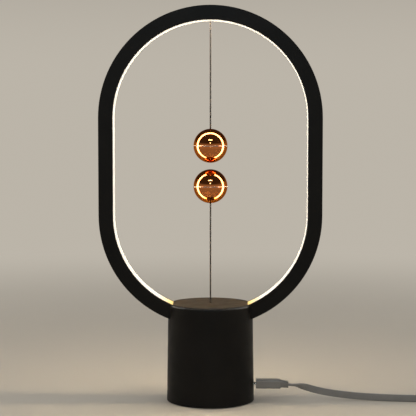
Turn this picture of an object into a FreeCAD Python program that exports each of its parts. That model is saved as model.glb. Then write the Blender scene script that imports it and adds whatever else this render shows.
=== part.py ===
import FreeCAD
import Part
import Sketcher
import math
import os
import re

from FreeCAD import Placement, Rotation, Vector

# A magnetic balance lamp: a lit ring in a round base, with two magnetic balls on cords.
# Millimetres, +Z up. The origin is the middle of the base's underside, the lead leaves
# on +X, and the lamp is looked at from -Y.

# ---------------------------------------------------------------------------------------
# Driving sizes: name, value, meaning
# ---------------------------------------------------------------------------------------
SIZE_TABLE = [
    # base
    ("base_height", 99.6, "top face of the base above the table"),
    ("base_top_radius", 43.0, "outside of the base at its top"),
    ("base_foot_radius", 44.5, "outside of the base at its foot"),
    ("base_wall", 2.2, "wall of the base shell"),
    ("rim_round", 2.8, "rounding of the shell's rim"),
    ("floor_gap", 0.8, "base shell above the table"),
    ("ledge_width", 2.4, "ledge that carries the top cover"),
    ("ledge_thickness", 2.0, "thickness of that ledge"),
    ("ledge_slope", 3.0, "height of the slope under the ledge"),
    ("rim_width", 3.6, "top of the base shell outside the cover"),
    ("cover_thickness", 2.5, "top cover disc"),
    ("cover_edge", 0.5, "rounding of the cover's edge"),
    ("cover_gap", 0.2, "cover to shell, all round"),
    ("cover_post_place", 26.0, "cover's screw posts from the middle"),
    ("cover_post_radius", 3.2, "cover's screw posts"),
    ("cover_screw_length", 12.0, "cover's screws"),
    ("plate_thickness", 3.0, "base plate"),
    ("pad_inset", 0.6, "rubber pad inside the base plate's edge"),
    ("pad_thickness", 1.6, "rubber pad"),
    ("pad_edge", 0.4, "rounding of the pad's lower edge"),
    ("ballast_thickness", 8.0, "steel ballast disc"),
    ("ballast_chamfer", 0.8, "ballast disc's upper edge"),
    ("post_inset", 6.5, "shell's screw posts inside the base's top radius"),
    ("post_foot_inset", 8.0, "the same posts inside the base's foot radius"),
    ("post_radius", 3.6, "shell's screw posts"),
    ("post_rib", 2.4, "rib between post and wall"),
    ("base_screw_length", 11.0, "screws of the base plate and the deck"),
    ("deck_thickness", 3.0, "deck"),
    ("deck_gap", 0.6, "deck to the shell's inside at the top"),
    ("cradle_width", 20.0, "cradle on the deck, along Y"),
    ("cradle_length", 60.0, "cradle on the deck, along X"),
    ("wire_hole_x", 26.0, "deck's hole for the strip's wires"),
    ("wire_hole_y", 20.0, "deck's hole for the strip's wires"),
    ("wire_hole_radius", 3.0, "deck's hole for the strip's wires"),
    # ring
    ("ring_radius", 112.5, "outside of the ring's round ends"),
    ("ring_band", 14.7, "ring from its outside to its inside"),
    ("ring_depth", 28.0, "ring along Y"),
    ("ring_straight", 98.0, "straight stretch between the round ends"),
    ("ring_sink", 22.6, "ring's lowest point below the top of the base"),
    ("ring_over_deck", 6.0, "ring's lowest point above the deck"),
    ("ring_wall", 2.0, "walls of the ring shells"),
    ("ring_edge", 1.0, "rounding of the ring's edges"),
    ("ring_slot_gap", 0.2, "ring to base shell and cover"),
    ("strip_end_angle", 18.5, "light strip's ends, from straight down"),
    ("diffuser_inset", 0.2, "diffuser below the ring's inner edges"),
    ("diffuser_thickness", 1.5, "diffuser"),
    ("reflector_depth", 5.5, "inside of the reflector channel"),
    ("reflector_wall", 1.0, "reflector channel"),
    ("inner_gap", 0.1, "reflector and diffuser to the ring shells"),
    ("glue_gap", 0.03, "glue between curved faces"),
    ("ledge_ring_width", 1.2, "ledge in the ring shells behind the reflector"),
    ("tape_width", 10.0, "LED tape"),
    ("tape_thickness", 0.25, "LED tape"),
    ("led_length", 3.5, "one LED along the tape"),
    ("led_width", 2.8, "one LED across the tape"),
    ("led_thickness", 1.0, "one LED"),
    ("led_pitch", 16.6, "LED to LED along the tape"),
    ("ring_screw_x", 18.0, "ring's screws from the middle, along X"),
    ("ring_screw_y", 7.0, "ring's screws from the middle, along Y"),
    ("ring_boss_half", 3.0, "ring's screw bosses, half of their width"),
    ("ring_boss_tall", 7.0, "ring's screw bosses"),
    ("ring_screw_length", 16.0, "ring's screws"),
    ("ring_cord_hole", 2.6, "hole for the lower cord through the ring's bottom"),
    # cords, beads and balls
    ("cord_radius", 0.9, "upper and lower cord"),
    ("cord_hole_gap", 0.25, "cord to the holes that it runs in"),
    ("bead_radius", 1.0, "bead that a cord bends at"),
    ("bead_gap", 0.15, "bead to its neighbours on the cord"),
    ("upper_tail", 0.6, "upper cord's fixed stretch below the diffuser"),
    ("lower_tail", 4.1, "cord pulled out of the base, above its top"),
    ("ball_radius", 17.2, "both balls"),
    ("ball_wall", 2.0, "ball shells"),
    ("ball_seam", 0.2, "seam between a ball's two shells"),
    ("upper_drop", 125.2, "middle of the upper ball below its cord's fixed stretch"),
    ("ball_gap", 6.5, "air gap between the balls"),
    ("magnet_radius", 8.0, "magnet in each ball"),
    ("magnet_thickness", 6.0, "magnet in each ball"),
    ("magnet_gap", 0.1, "magnet to its seat"),
    ("magnet_seat_wall", 1.2, "ring wall round the magnet"),
    ("knot_radius", 1.6, "knots of the cords"),
    ("eyelet_radius", 2.2, "eyelet in the top cover"),
    ("eyelet_length", 6.0, "eyelet in the top cover"),
    ("eyelet_flange_radius", 3.2, "eyelet's flange under the cover"),
    ("eyelet_flange_tall", 1.5, "eyelet's flange under the cover"),
    ("eyelet_mouth", 0.4, "rounding of the eyelet's mouth"),
    # pull switch
    ("guide_flange_tall", 2.0, "guide's flange"),
    ("guide_length", 22.0, "guide's tube below its flange"),
    ("guide_radius", 5.4, "outside of the guide's tube"),
    ("guide_bore", 4.2, "guide's bore"),
    ("guide_flange_x", 24.0, "guide's flange along X"),
    ("guide_flange_y", 12.0, "guide's flange along Y"),
    ("guide_screw_x", 9.0, "guide's screws from the middle"),
    ("guide_screw_length", 4.5, "guide's screws"),
    ("piston_radius", 4.1, "plunger's piston"),
    ("piston_height", 4.0, "plunger's piston"),
    ("pull_travel", 4.0, "travel of the pull switch"),
    ("rod_radius", 2.2, "plunger's rod"),
    ("foot_radius", 6.0, "plunger's foot"),
    ("foot_thickness", 2.0, "plunger's foot"),
    ("foot_drop", 7.7, "plunger's foot below the guide, switched on"),
    ("rest_gap", 0.3, "parts that stop against each other"),
    ("cap_thickness", 2.0, "cap under the guide's tube"),
    ("spring_wire", 0.35, "radius of the return spring's wire"),
    ("spring_radius", 3.1, "middle of the return spring's wire"),
    ("spring_turns", 6.0, "turns of the return spring"),
    # micro switch
    ("switch_near_x", 7.0, "near end of the micro switch"),
    ("switch_length", 20.0, "micro switch"),
    ("switch_width", 6.4, "micro switch"),
    ("switch_tall", 10.2, "micro switch"),
    ("switch_plate", 2.0, "plate that carries the micro switch"),
    ("ear_thickness", 0.9, "micro switch's ears for the lever"),
    ("ear_length", 2.0, "micro switch's ears for the lever"),
    ("ear_drop", 1.6, "micro switch's ears for the lever"),
    ("terminal_thickness", 0.5, "micro switch's terminals"),
    ("terminal_width", 3.0, "micro switch's terminals"),
    ("terminal_tall", 4.0, "micro switch's terminals"),
    ("lever_thickness", 0.4, "lever blade"),
    ("lever_width", 4.2, "lever blade"),
    ("lever_reach", 3.4, "tip of the lever from the middle"),
    ("lever_inset", 1.5, "lever's pivot inside the switch's far end"),
    ("lever_barrel", 0.6, "radius of the lever's barrel"),
    ("lever_trunnion", 0.4, "radius of the lever's trunnions"),
    ("button_arm", 5.5, "button from the lever's pivot"),
    ("button_radius", 0.8, "button"),
    ("button_length", 2.7, "button"),
    ("button_gap", 0.1, "button to the lever"),
    # control board
    ("board_inset", 4.4, "board's outer edge behind the socket's mouth"),
    ("board_length", 27.0, "board along X"),
    ("board_width", 26.0, "board along Y"),
    ("board_thickness", 1.6, "board"),
    ("board_over_ballast", 0.9, "underside of the board over the ballast disc"),
    ("board_post_radius", 2.5, "posts under the board"),
    ("board_post_near", 4.0, "inner posts from the board's inner edge"),
    ("board_post_far", 3.4, "outer posts from the board's outer edge"),
    ("board_post_y", 9.6, "posts from the middle"),
    ("board_screw_length", 6.0, "board's screws"),
    ("connector_place", 2.4, "wire connectors from the board's inner edge"),
    ("connector_y", 4.2, "middle of the wire connectors"),
    ("connector_side", 4.0, "wire connectors"),
    ("connector_tall", 3.0, "wire connectors"),
    ("chip_place", 12.0, "row of components from the board's inner edge"),
    ("chip_y", -0.5, "middle of the chip"),
    ("chip_length", 6.0, "chip along X"),
    ("chip_width", 5.0, "chip along Y"),
    ("chip_tall", 1.6, "chip"),
    ("capacitor_y", 7.5, "middle of the capacitor"),
    ("capacitor_radius", 3.0, "capacitor"),
    ("capacitor_tall", 7.0, "capacitor"),
    ("choke_y", -7.0, "middle of the choke"),
    ("choke_side", 6.0, "choke"),
    ("choke_tall", 3.0, "choke"),
    # USB socket and plug
    ("socket_inset", 1.1, "mouth of the USB socket inside the base's foot"),
    ("socket_length", 7.4, "USB socket"),
    ("socket_width", 8.94, "USB socket"),
    ("socket_tall", 3.26, "USB socket"),
    ("socket_sheet", 0.3, "USB socket's sheet metal"),
    ("anchor_length", 12.0, "anchor plate over the upper cord's hole, along X"),
    ("anchor_width", 10.0, "anchor plate, along Y"),
    ("anchor_thickness", 0.8, "anchor plate"),
    ("port_margin", 0.3, "port in the base shell, round the socket"),
    ("tongue_width", 6.6, "tongue in the socket"),
    ("tongue_length", 5.2, "tongue in the socket"),
    ("tongue_thickness", 0.7, "tongue in the socket"),
    ("tip_width", 8.25, "USB plug's tip"),
    ("tip_tall", 2.4, "USB plug's tip"),
    ("tip_length", 8.4, "USB plug's tip"),
    ("tip_bore", 6.4, "hollow of the USB plug's tip"),
    ("tip_showing", 3.1, "USB plug's tip between socket and overmould"),
    ("plug_length", 25.0, "plug's overmould"),
    ("plug_width", 12.0, "plug's overmould"),
    ("plug_tall", 8.6, "plug's overmould"),
    ("plug_round", 1.3, "rounding along the overmould"),
    ("plug_face_round", 0.6, "rounding of the overmould's front face"),
    ("relief_length", 7.5, "plug's strain relief"),
    ("relief_width", 9.8, "strain relief at the overmould"),
    ("relief_tall", 7.2, "strain relief at the overmould"),
    ("relief_end_width", 9.2, "strain relief at the lead"),
    ("relief_end_tall", 6.8, "strain relief at the lead"),
    ("relief_drop", 0.7, "strain relief's end below the plug's middle"),
    # lead
    ("lead_width", 7.0, "flat lead, the tall way when on edge"),
    ("lead_thickness", 2.0, "flat lead"),
    ("lead_corner", 0.6, "flat lead's rounded corners"),
    ("coil_x", 266.0, "middle of the coil"),
    ("coil_y", 38.2, "middle of the coil"),
    ("coil_lift", 0.7, "coil above the table, over its tie"),
    ("coil_outer_turn", 46.2, "middle line of the outer turn"),
    ("coil_inner_turn", 37.8, "middle line of the inner turn"),
    ("tie_width", 5.0, "tie round the coil"),
    ("tie_thickness", 0.5, "tie round the coil"),
    ("far_body_length", 18.0, "far plug's overmould"),
    ("far_body_width", 15.6, "far plug's overmould"),
    ("far_body_tall", 8.0, "far plug's overmould"),
    ("far_shell_length", 12.0, "far plug's metal shell"),
    ("far_shell_width", 12.0, "far plug's metal shell"),
    ("far_shell_tall", 4.5, "far plug's metal shell"),
    ("far_shell_sheet", 0.4, "far plug's sheet metal"),
    ("far_shell_floor", 1.0, "floor of the far plug's metal shell"),
    ("far_body_round", 2.4, "rounding along the far plug's overmould"),
    ("far_relief_length", 6.0, "far plug's strain relief"),
    ("far_relief_width", 4.0, "far strain relief at the lead"),
    ("far_relief_tall", 6.6, "far strain relief at the lead"),
    ("far_relief_end_width", 9.6, "far strain relief at the overmould"),
    ("far_relief_end_tall", 7.0, "far strain relief at the overmould"),
    # fasteners
    ("screw_radius", 1.25, "screws of base, deck and ring"),
    ("screw_head_radius", 2.4, "their heads"),
    ("screw_head_tall", 1.5, "their heads"),
    ("screw_gap", 0.05, "screw to the hole that it holds in"),
    ("bore_end", 1.0, "blind bores beyond their screws"),
    ("small_screw_radius", 1.0, "screws of board and switch"),
    ("small_head_radius", 1.8, "their heads"),
    ("small_head_tall", 1.2, "their heads"),
    # wires
    ("wire_radius", 0.6, "wires in the base"),
]
SIZES = {name: value for name, value, meaning in SIZE_TABLE}

doc = FreeCAD.newDocument("balance_lamp")
sheet = doc.addObject("Spreadsheet::Sheet", "Sizes")
for row, (name, value, meaning) in enumerate(SIZE_TABLE, start=1):
    sheet.set("A%d" % row, name)
    sheet.set("B%d" % row, str(value))
    sheet.setAlias("B%d" % row, name)
    sheet.set("C%d" % row, meaning)
doc.recompute()

# ---------------------------------------------------------------------------------------
# Formulas in the sheet's names, for sizes and places that follow from the driving ones
# ---------------------------------------------------------------------------------------
COVER_RADIUS = "(base_top_radius - rim_width)"
COVER_UNDER = "(base_height - cover_thickness)"
PLATE_RADIUS = "(base_foot_radius - base_wall - rest_gap)"
PLATE_TOP = "(pad_thickness + plate_thickness)"
BALLAST_TOP = "(pad_thickness + plate_thickness + ballast_thickness)"
POST_CIRCLE = "min(base_top_radius - post_inset; base_foot_radius - post_foot_inset)"
BALLAST_RADIUS = "(" + POST_CIRCLE + " - post_radius - rest_gap)"
PAD_RADIUS = "(base_foot_radius - base_wall - rest_gap - pad_inset)"

RING_FOOT = "(base_height - ring_sink)"
RING_CENTRE = "(base_height - ring_sink + ring_radius)"
RING_TOP_CENTRE = "(base_height - ring_sink + ring_radius + ring_straight)"
RING_INNER = "(ring_radius - ring_band)"
DIFFUSER_INNER = "(ring_radius - ring_band + diffuser_inset)"
DIFFUSER_OUTER = "(ring_radius - ring_band + diffuser_inset + diffuser_thickness)"
REFLECTOR_FLOOR = DIFFUSER_OUTER.replace(")", " + reflector_depth)")
REFLECTOR_BACK = REFLECTOR_FLOOR.replace(")", " + reflector_wall)")
CHANNEL_HALF = "(ring_depth / 2 - ring_wall - inner_gap)"

CORD_HOLE = "(cord_radius + cord_hole_gap)"
UPPER_TAIL_END = "(" + RING_TOP_CENTRE + " + " + DIFFUSER_INNER + " - upper_tail)"
LOWER_TAIL_END = "(base_height + lower_tail)"
UPPER_PIVOT = "(" + UPPER_TAIL_END + " - bead_gap - bead_radius)"
LOWER_PIVOT = "(" + LOWER_TAIL_END + " + bead_gap + bead_radius)"
UPPER_BALL = "(" + UPPER_TAIL_END + " - upper_drop)"
LOWER_BALL = "(" + UPPER_BALL + " - 2 * ball_radius - ball_gap)"

DECK_BOTTOM = "(" + RING_FOOT + " - ring_over_deck - deck_thickness)"
DECK_TOP = "(" + RING_FOOT + " - ring_over_deck)"
DECK_RADIUS = "(base_top_radius - base_wall - deck_gap)"
GUIDE_TOP = "(" + DECK_BOTTOM + " - guide_flange_tall)"
GUIDE_BOTTOM = "(" + GUIDE_TOP + " - guide_length)"
PISTON_TOP = "(" + GUIDE_BOTTOM + " + rest_gap + pull_travel + piston_height)"
FOOT_TOP = "(" + GUIDE_BOTTOM + " - foot_drop)"
LEVER_PIVOT_Z = "(" + FOOT_TOP + " + rest_gap + lever_thickness / 2)"
LEVER_PIVOT_X = "(switch_near_x + switch_length - lever_inset)"
BUTTON_X = "(switch_near_x + switch_length - lever_inset - button_arm)"
SWITCH_BOTTOM = "(" + LEVER_PIVOT_Z + " + ear_drop / 2)"
SWITCH_TOP = "(" + SWITCH_BOTTOM + " + switch_tall)"
SWITCH_SCREWS_X = ("-switch_near_x - switch_length / 4", "-switch_near_x - switch_length * 3 / 4")
SWITCH_SCREWS_Z = SWITCH_BOTTOM + " + switch_tall * 3 / 4"
SWITCH_TERMINALS_X = ["-switch_near_x - switch_length * %s" % share for share in (0.1, 0.5, 0.9)]
SCREW_HOLE = "(screw_radius + screw_gap)"
SMALL_SCREW_HOLE = "(small_screw_radius + screw_gap)"

SOCKET_FRONT = "(base_foot_radius - socket_inset)"
PLUG_FACE = "(base_foot_radius - socket_inset + tip_showing)"
BOARD_END = "(" + SOCKET_FRONT + " - board_inset)"
BOARD_START = "(" + SOCKET_FRONT + " - board_inset - board_length)"
BOARD_POSTS_X = (BOARD_START + " + board_post_near", BOARD_END + " - board_post_far")
BOARD_BOTTOM = "(" + BALLAST_TOP + " + board_over_ballast)"
BOARD_TOP = "(" + BOARD_BOTTOM + " + board_thickness)"
CONNECTOR_X = "(" + BOARD_START + " + connector_place)"
CONNECTOR_TOP = "(" + BOARD_TOP + " + connector_tall)"
CHIP_X = "(" + BOARD_START + " + chip_place)"
SOCKET_MIDDLE = "(" + BOARD_TOP + " + socket_tall / 2)"
LEAD_START_X = "(" + PLUG_FACE + " + plug_length + relief_length + screw_gap)"
LEAD_EXIT = "(" + SOCKET_MIDDLE + " - relief_drop)"
COIL_MIDDLE_Z = "(coil_lift + lead_width / 2)"

# a magnet's faces from the ball's middle, close inside the shell's pole
MAGNET_FRONT = "(sqrt((ball_radius - ball_wall)^2 - magnet_radius^2) - magnet_gap)"
MAGNET_BACK = "(" + MAGNET_FRONT + " - magnet_thickness)"

BASE_POSTS = 3
NEAR = 0.01


def formula(text):
    """Write a formula in the sheet's names as an expression of the document."""
    def with_sheet(word):
        return "Sizes." + word.group() if word.group() in SIZES else word.group()
    return re.sub(r"[a-z][a-z_]*", with_sheet, str(text))


def number(text):
    """Work out a formula in the sheet's names."""
    return float(sheet.evalExpression(str(text)))


def bind(thing, prop, text):
    thing.setExpression(prop, formula(text))


# ---------------------------------------------------------------------------------------
# Sketches and features
# ---------------------------------------------------------------------------------------
NODES = []


def node(thing, label):
    """Name a finished sub-part; the label is the name of its file."""
    thing.Label = label
    NODES.append(thing)
    return thing


def new_body(name):
    return doc.addObject("PartDesign::Body", name)


def origin_plane(body, role):
    return [f for f in body.Origin.OriginFeatures if f.Role == role][0]


def new_sketch(body, role, offset=0):
    """A sketch on a plane of the body's origin, moved along that plane's normal."""
    sketch = body.newObject("Sketcher::SketchObject", "Sketch")
    sketch.AttachmentSupport = (origin_plane(body, role), [""])
    sketch.MapMode = "FlatFace"
    if offset:
        bind(sketch, "AttachmentOffset.Base.z", offset)
    return sketch


def fix_point(sketch, edge, end, across, up):
    """Hold a point of a sketch at a place given by two formulas."""
    for kind, axis, text in (("DistanceX", -2, across), ("DistanceY", -1, up)):
        value = number(text)
        if abs(value) < NEAR:
            sketch.addConstraint(Sketcher.Constraint("PointOnObject", edge, end, axis))
        else:
            index = sketch.addConstraint(Sketcher.Constraint(kind, -1, 1, edge, end, value))
            bind(sketch, "Constraints[%d]" % index, text)


def fix_radius(sketch, edge, text):
    index = sketch.addConstraint(Sketcher.Constraint("Radius", edge, number(text)))
    bind(sketch, "Constraints[%d]" % index, text)


def draw_outline(sketch, corners):
    """A closed outline of straight edges through corners given by formulas."""
    first = sketch.GeometryCount
    count = len(corners)
    places = [Vector(number(across), number(up), 0) for across, up in corners]
    for i in range(count):
        sketch.addGeometry(Part.LineSegment(places[i], places[(i + 1) % count]), False)
    for i in range(count):
        following = first + (i + 1) % count
        sketch.addConstraint(Sketcher.Constraint("Coincident", first + i, 2, following, 1))
    for i, (across, up) in enumerate(corners):
        fix_point(sketch, first + i, 1, across, up)


def draw_box(sketch, left, right, low, high):
    draw_outline(sketch, [(left, low), (right, low), (right, high), (left, high)])


def draw_circle(sketch, across, up, radius):
    place = Vector(number(across), number(up), 0)
    edge = sketch.addGeometry(Part.Circle(place, Vector(0, 0, 1), number(radius)), False)
    fix_radius(sketch, edge, radius)
    fix_point(sketch, edge, 3, across, up)


def draw_slot(sketch, start, end, radius):
    """Two half circles round start and end, joined by straight edges."""
    a = Vector(number(start[0]), number(start[1]), 0)
    b = Vector(number(end[0]), number(end[1]), 0)
    r = number(radius)
    along = (b - a).normalize()
    side = Vector(-along.y, along.x, 0) * r
    first = sketch.GeometryCount
    heading = math.atan2(along.y, along.x)
    for centre, turn in ((a, math.pi / 2), (b, -math.pi / 2)):
        circle = Part.Circle(centre, Vector(0, 0, 1), r)
        arc = Part.ArcOfCircle(circle, heading + turn, heading + turn + math.pi)
        sketch.addGeometry(arc, False)
    sketch.addGeometry(Part.LineSegment(a - side, b - side), False)
    sketch.addGeometry(Part.LineSegment(b + side, a + side), False)
    for edge, end_a, other, end_b in ((0, 2, 2, 1), (2, 2, 1, 1), (1, 2, 3, 1), (3, 2, 0, 1)):
        joint = Sketcher.Constraint("Tangent", first + edge, end_a, first + other, end_b)
        sketch.addConstraint(joint)
    fix_point(sketch, first, 3, *start)
    fix_point(sketch, first + 1, 3, *end)
    fix_radius(sketch, first, radius)
    sketch.addConstraint(Sketcher.Constraint("Equal", first, first + 1))


def draw_ring_outline(sketch, radius):
    """The ring's own outline, a round-ended slot standing on end, at a given radius."""
    draw_slot(sketch, (0, RING_CENTRE), (0, RING_TOP_CENTRE), radius)


def body_volume(body):
    doc.recompute()
    return body.Shape.Volume if body.Tip else 0.0


def extrude(body, kind, sketch, length, back, middle):
    before = body_volume(body)
    feature = body.newObject("PartDesign::" + kind, kind)
    feature.Profile = sketch
    if length is None:
        feature.Type = "ThroughAll"
    else:
        bind(feature, "Length", length)
    feature.Midplane = middle
    feature.Reversed = back
    body.Tip = feature
    after = body_volume(body)
    gained = after > before if kind == "Pad" else after < before
    if not gained:
        raise ValueError("%s of %s changes nothing" % (kind, body.Name))
    return feature


def pad(body, sketch, length, back=False, middle=False):
    """Add material along the sketch's normal, or against it."""
    return extrude(body, "Pad", sketch, length, back, middle)


def pocket(body, sketch, length=None, along=True, middle=False):
    """Remove material along the sketch's normal, or against it."""
    return extrude(body, "Pocket", sketch, length, along, middle)


def revolve(body, sketch):
    """Turn a sketch on the XZ plane round the Z axis."""
    feature = body.newObject("PartDesign::Revolution", "Revolution")
    feature.Profile = sketch
    feature.ReferenceAxis = (sketch, ["V_Axis"])
    feature.Angle = 360
    body.Tip = feature
    doc.recompute()
    return feature


def join_sections(body, sections):
    """Loft straight from the first section to the second."""
    loft = body.newObject("PartDesign::AdditiveLoft", "Loft")
    loft.Profile = sections[0]
    loft.Sections = [sections[1]]
    loft.Ruled = True
    body.Tip = loft
    doc.recompute()
    return loft


def round_edges(body, test, radius, kind="Fillet"):
    """Round or chamfer the edges of the body's last feature that pass the test."""
    doc.recompute()
    last = body.Tip
    names = ["Edge%d" % (i + 1) for i, edge in enumerate(last.Shape.Edges) if test(edge)]
    if not names:
        raise ValueError("no edges to round on " + body.Name)
    feature = body.newObject("PartDesign::" + kind, kind)
    feature.Base = (last, names)
    bind(feature, "Radius" if kind == "Fillet" else "Size", radius)
    body.Tip = feature
    doc.recompute()
    return feature


def pattern_round(body, features, count):
    """Repeat features round the Z axis."""
    before = body_volume(body)
    pattern = body.newObject("PartDesign::PolarPattern", "PolarPattern")
    pattern.Originals = features
    pattern.Axis = (origin_plane(body, "Z_Axis"), [""])
    pattern.Angle = 360
    pattern.Occurrences = count
    body.Tip = pattern
    if abs(body_volume(body) - before) < NEAR:
        raise ValueError("pattern of %s changes nothing" % body.Name)
    return pattern


def mirror_body(body, features, role):
    before = body_volume(body)
    mirrored = body.newObject("PartDesign::Mirrored", "Mirrored")
    mirrored.Originals = features
    mirrored.MirrorPlane = (origin_plane(body, role), [""])
    body.Tip = mirrored
    if abs(body_volume(body) - before) < NEAR:
        raise ValueError("mirror of %s changes nothing" % body.Name)
    return mirrored


def lies_at_height(edge, height):
    box = edge.BoundBox
    return abs(box.ZMin - height) < NEAR and abs(box.ZMax - height) < NEAR


def lies_at_depth(edge, depth):
    box = edge.BoundBox
    return abs(box.YMin - depth) < NEAR and abs(box.YMax - depth) < NEAR


def middle_reach(edge):
    """Distance of an edge's middle from the Z axis."""
    middle = edge.valueAt((edge.FirstParameter + edge.LastParameter) / 2)
    return math.hypot(middle.x, middle.y)


# ---------------------------------------------------------------------------------------
# Primitives and booleans
# ---------------------------------------------------------------------------------------
TURN_TO_Y = Rotation(Vector(1, 0, 0), -90)
UPRIGHT = Rotation()


def place(thing, x, y, z, turn=UPRIGHT):
    thing.Placement = Placement(Vector(number(x), number(y), number(z)), turn)
    for axis, text in (("x", x), ("y", y), ("z", z)):
        bind(thing, "Placement.Base." + axis, text)
    return thing


def cylinder(radius, length, x, y, z, turn=UPRIGHT):
    thing = doc.addObject("Part::Cylinder", "Cylinder")
    bind(thing, "Radius", radius)
    bind(thing, "Height", length)
    return place(thing, x, y, z, turn)


def ball(radius, x, y, z):
    thing = doc.addObject("Part::Sphere", "Sphere")
    bind(thing, "Radius", radius)
    return place(thing, x, y, z)


def block(x, y, z, x_size, y_size, z_size):
    """A box from its lowest corner."""
    thing = doc.addObject("Part::Box", "Box")
    bind(thing, "Length", x_size)
    bind(thing, "Width", y_size)
    bind(thing, "Height", z_size)
    return place(thing, x, y, z)


def join(pieces):
    thing = doc.addObject("Part::MultiFuse", "Fusion")
    thing.Shapes = pieces
    thing.Refine = True
    return thing


def cut(base, *tools):
    """Base less each tool in turn."""
    for tool in tools:
        before = base
        base = doc.addObject("Part::Cut", "Cut")
        base.Base = before
        base.Tool = tool
    return base


def group(pieces):
    """Separate solids that share one node."""
    thing = doc.addObject("Part::Compound", "Group")
    thing.Links = pieces
    return thing


def feature(label, shape):
    thing = doc.addObject("Part::Feature", label)
    thing.Shape = shape
    return node(thing, label)


def screw(radius, length, head_radius, head_tall, x, y, z, head_down=True):
    """A round-headed screw; z is the face that its head bears on."""
    if head_down:
        shank = cylinder(radius, length, x, y, z)
        head = cylinder(head_radius, head_tall, x, y, "%s - %s" % (z, head_tall))
    else:
        shank = cylinder(radius, length, x, y, "%s - %s" % (z, length))
        head = cylinder(head_radius, head_tall, x, y, z)
    return join([shank, head])


# ---------------------------------------------------------------------------------------
# Paths of wires and leads: straight runs joined by tangent arcs
# ---------------------------------------------------------------------------------------
CORD_SHARE = 0.45
WIRE_SHARE = 0.4


def rounded_path(points, share):
    """The wire through points, and the radius of each corner's arc, which takes a share of
    the shorter run beside it."""
    edges = []
    radii = []
    start = points[0]
    for before, corner, after in zip(points, points[1:], points[2:]):
        back = (before - corner).normalize()
        ahead = (after - corner).normalize()
        half_turn = (math.pi - back.getAngle(ahead)) / 2
        reach = share * min((before - corner).Length, (after - corner).Length)
        radii.append(reach / math.tan(half_turn))
        enter = corner + back * reach
        leave = corner + ahead * reach
        inward = (back + ahead).normalize()
        centre = corner + inward * (radii[-1] / math.cos(half_turn))
        middle = centre - inward * radii[-1]
        edges.append(Part.LineSegment(start, enter).toShape())
        edges.append(Part.Arc(enter, middle, leave).toShape())
        start = leave
    edges.append(Part.LineSegment(start, points[-1]).toShape())
    return Part.Wire(edges), radii


def sweep(path, section):
    """Sweep a closed section along a path, its upright side kept upright."""
    shell = Part.BRepOffsetAPI.MakePipeShell(path)
    shell.setBiNormalMode(Vector(0, 0, 1))
    shell.add(section)
    shell.build()
    shell.makeSolid()
    return shell.shape()


def upright_section(point, heading, thickness, tall, corner):
    """A rounded rectangle across a flat heading, standing on its narrow side."""
    half = thickness / 2 - corner
    rise = tall / 2 - corner
    box = Part.makePlane(2 * half, 2 * rise, Vector(-half, -rise, 0))
    outline = box.OuterWire.makeOffset2D(corner)
    turn = Rotation(Vector(1, 0, 0), Vector(0, 0, 1), Vector(0, -1, 0), "ZXY")
    outline.Placement = Placement(Vector(0, 0, 0), turn)
    swing = Rotation(Vector(0, 0, 1), math.degrees(math.atan2(heading.y, heading.x)) - 90)
    outline.Placement = Placement(point, swing).multiply(outline.Placement)
    return outline


def round_wire(points, radius):
    """A round wire along straight runs and arcs."""
    path = rounded_path(points, WIRE_SHARE)[0]
    heading = points[1] - points[0]
    circle = Part.Wire([Part.Circle(points[0], heading, radius).toShape()])
    return path.makePipeShell([circle], True, False)


# ---------------------------------------------------------------------------------------
# Base
# ---------------------------------------------------------------------------------------
def cut_ring_slot(body):
    """Make way for the ring's lower end, with its gap all round."""
    slot = new_sketch(body, "XZ_Plane")
    draw_circle(slot, 0, RING_CENTRE, "ring_radius + ring_slot_gap")
    draw_circle(slot, 0, RING_CENTRE, RING_INNER + " - ring_slot_gap")
    return pocket(body, slot, "ring_depth + 2 * ring_slot_gap", middle=True)


def make_base_shell():
    body = new_body("BaseShell")
    profile = new_sketch(body, "XZ_Plane")
    ledge_radius = COVER_RADIUS + " - ledge_width"
    ledge_under = COVER_UNDER + " - ledge_thickness"
    draw_outline(profile, [
        ("base_foot_radius", "floor_gap"),
        ("base_top_radius", "base_height"),
        (COVER_RADIUS + " + cover_gap", "base_height"),
        (COVER_RADIUS + " + cover_gap", COVER_UNDER),
        (ledge_radius, COVER_UNDER),
        (ledge_radius, ledge_under),
        ("base_top_radius - base_wall", ledge_under + " - ledge_slope"),
        ("base_foot_radius - base_wall", "floor_gap"),
    ])
    revolve(body, profile)
    top = number("base_height")
    rim = number("(" + COVER_RADIUS + " + base_top_radius) / 2")
    round_edges(body, lambda e: lies_at_height(e, top) and middle_reach(e) > rim, "rim_round")
    cut_ring_slot(body)

    # three screw posts, each joined to the wall by a rib
    post_length = DECK_BOTTOM + " - " + PLATE_TOP
    post = new_sketch(body, "XY_Plane", PLATE_TOP)
    draw_circle(post, 0, POST_CIRCLE, "post_radius")
    post_pad = pad(body, post, post_length)
    rib = new_sketch(body, "XY_Plane", PLATE_TOP)
    in_wall = "(base_top_radius + base_foot_radius - base_wall) / 2"
    draw_box(rib, "-post_rib / 2", "post_rib / 2", POST_CIRCLE, in_wall)
    rib_pad = pad(body, rib, post_length)
    bore = new_sketch(body, "XY_Plane", PLATE_TOP)
    draw_circle(bore, 0, POST_CIRCLE, SCREW_HOLE)
    bore_cut = pocket(body, bore, post_length)
    pattern_round(body, [post_pad, rib_pad, bore_cut], BASE_POSTS)

    # port for the USB plug
    port = new_sketch(body, "YZ_Plane")
    reach = "(socket_width - socket_tall) / 2"
    start = ("-" + reach, SOCKET_MIDDLE)
    draw_slot(port, start, (reach, SOCKET_MIDDLE), "socket_tall / 2 + port_margin")
    pocket(body, port)
    return node(body, "base_shell")


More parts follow.
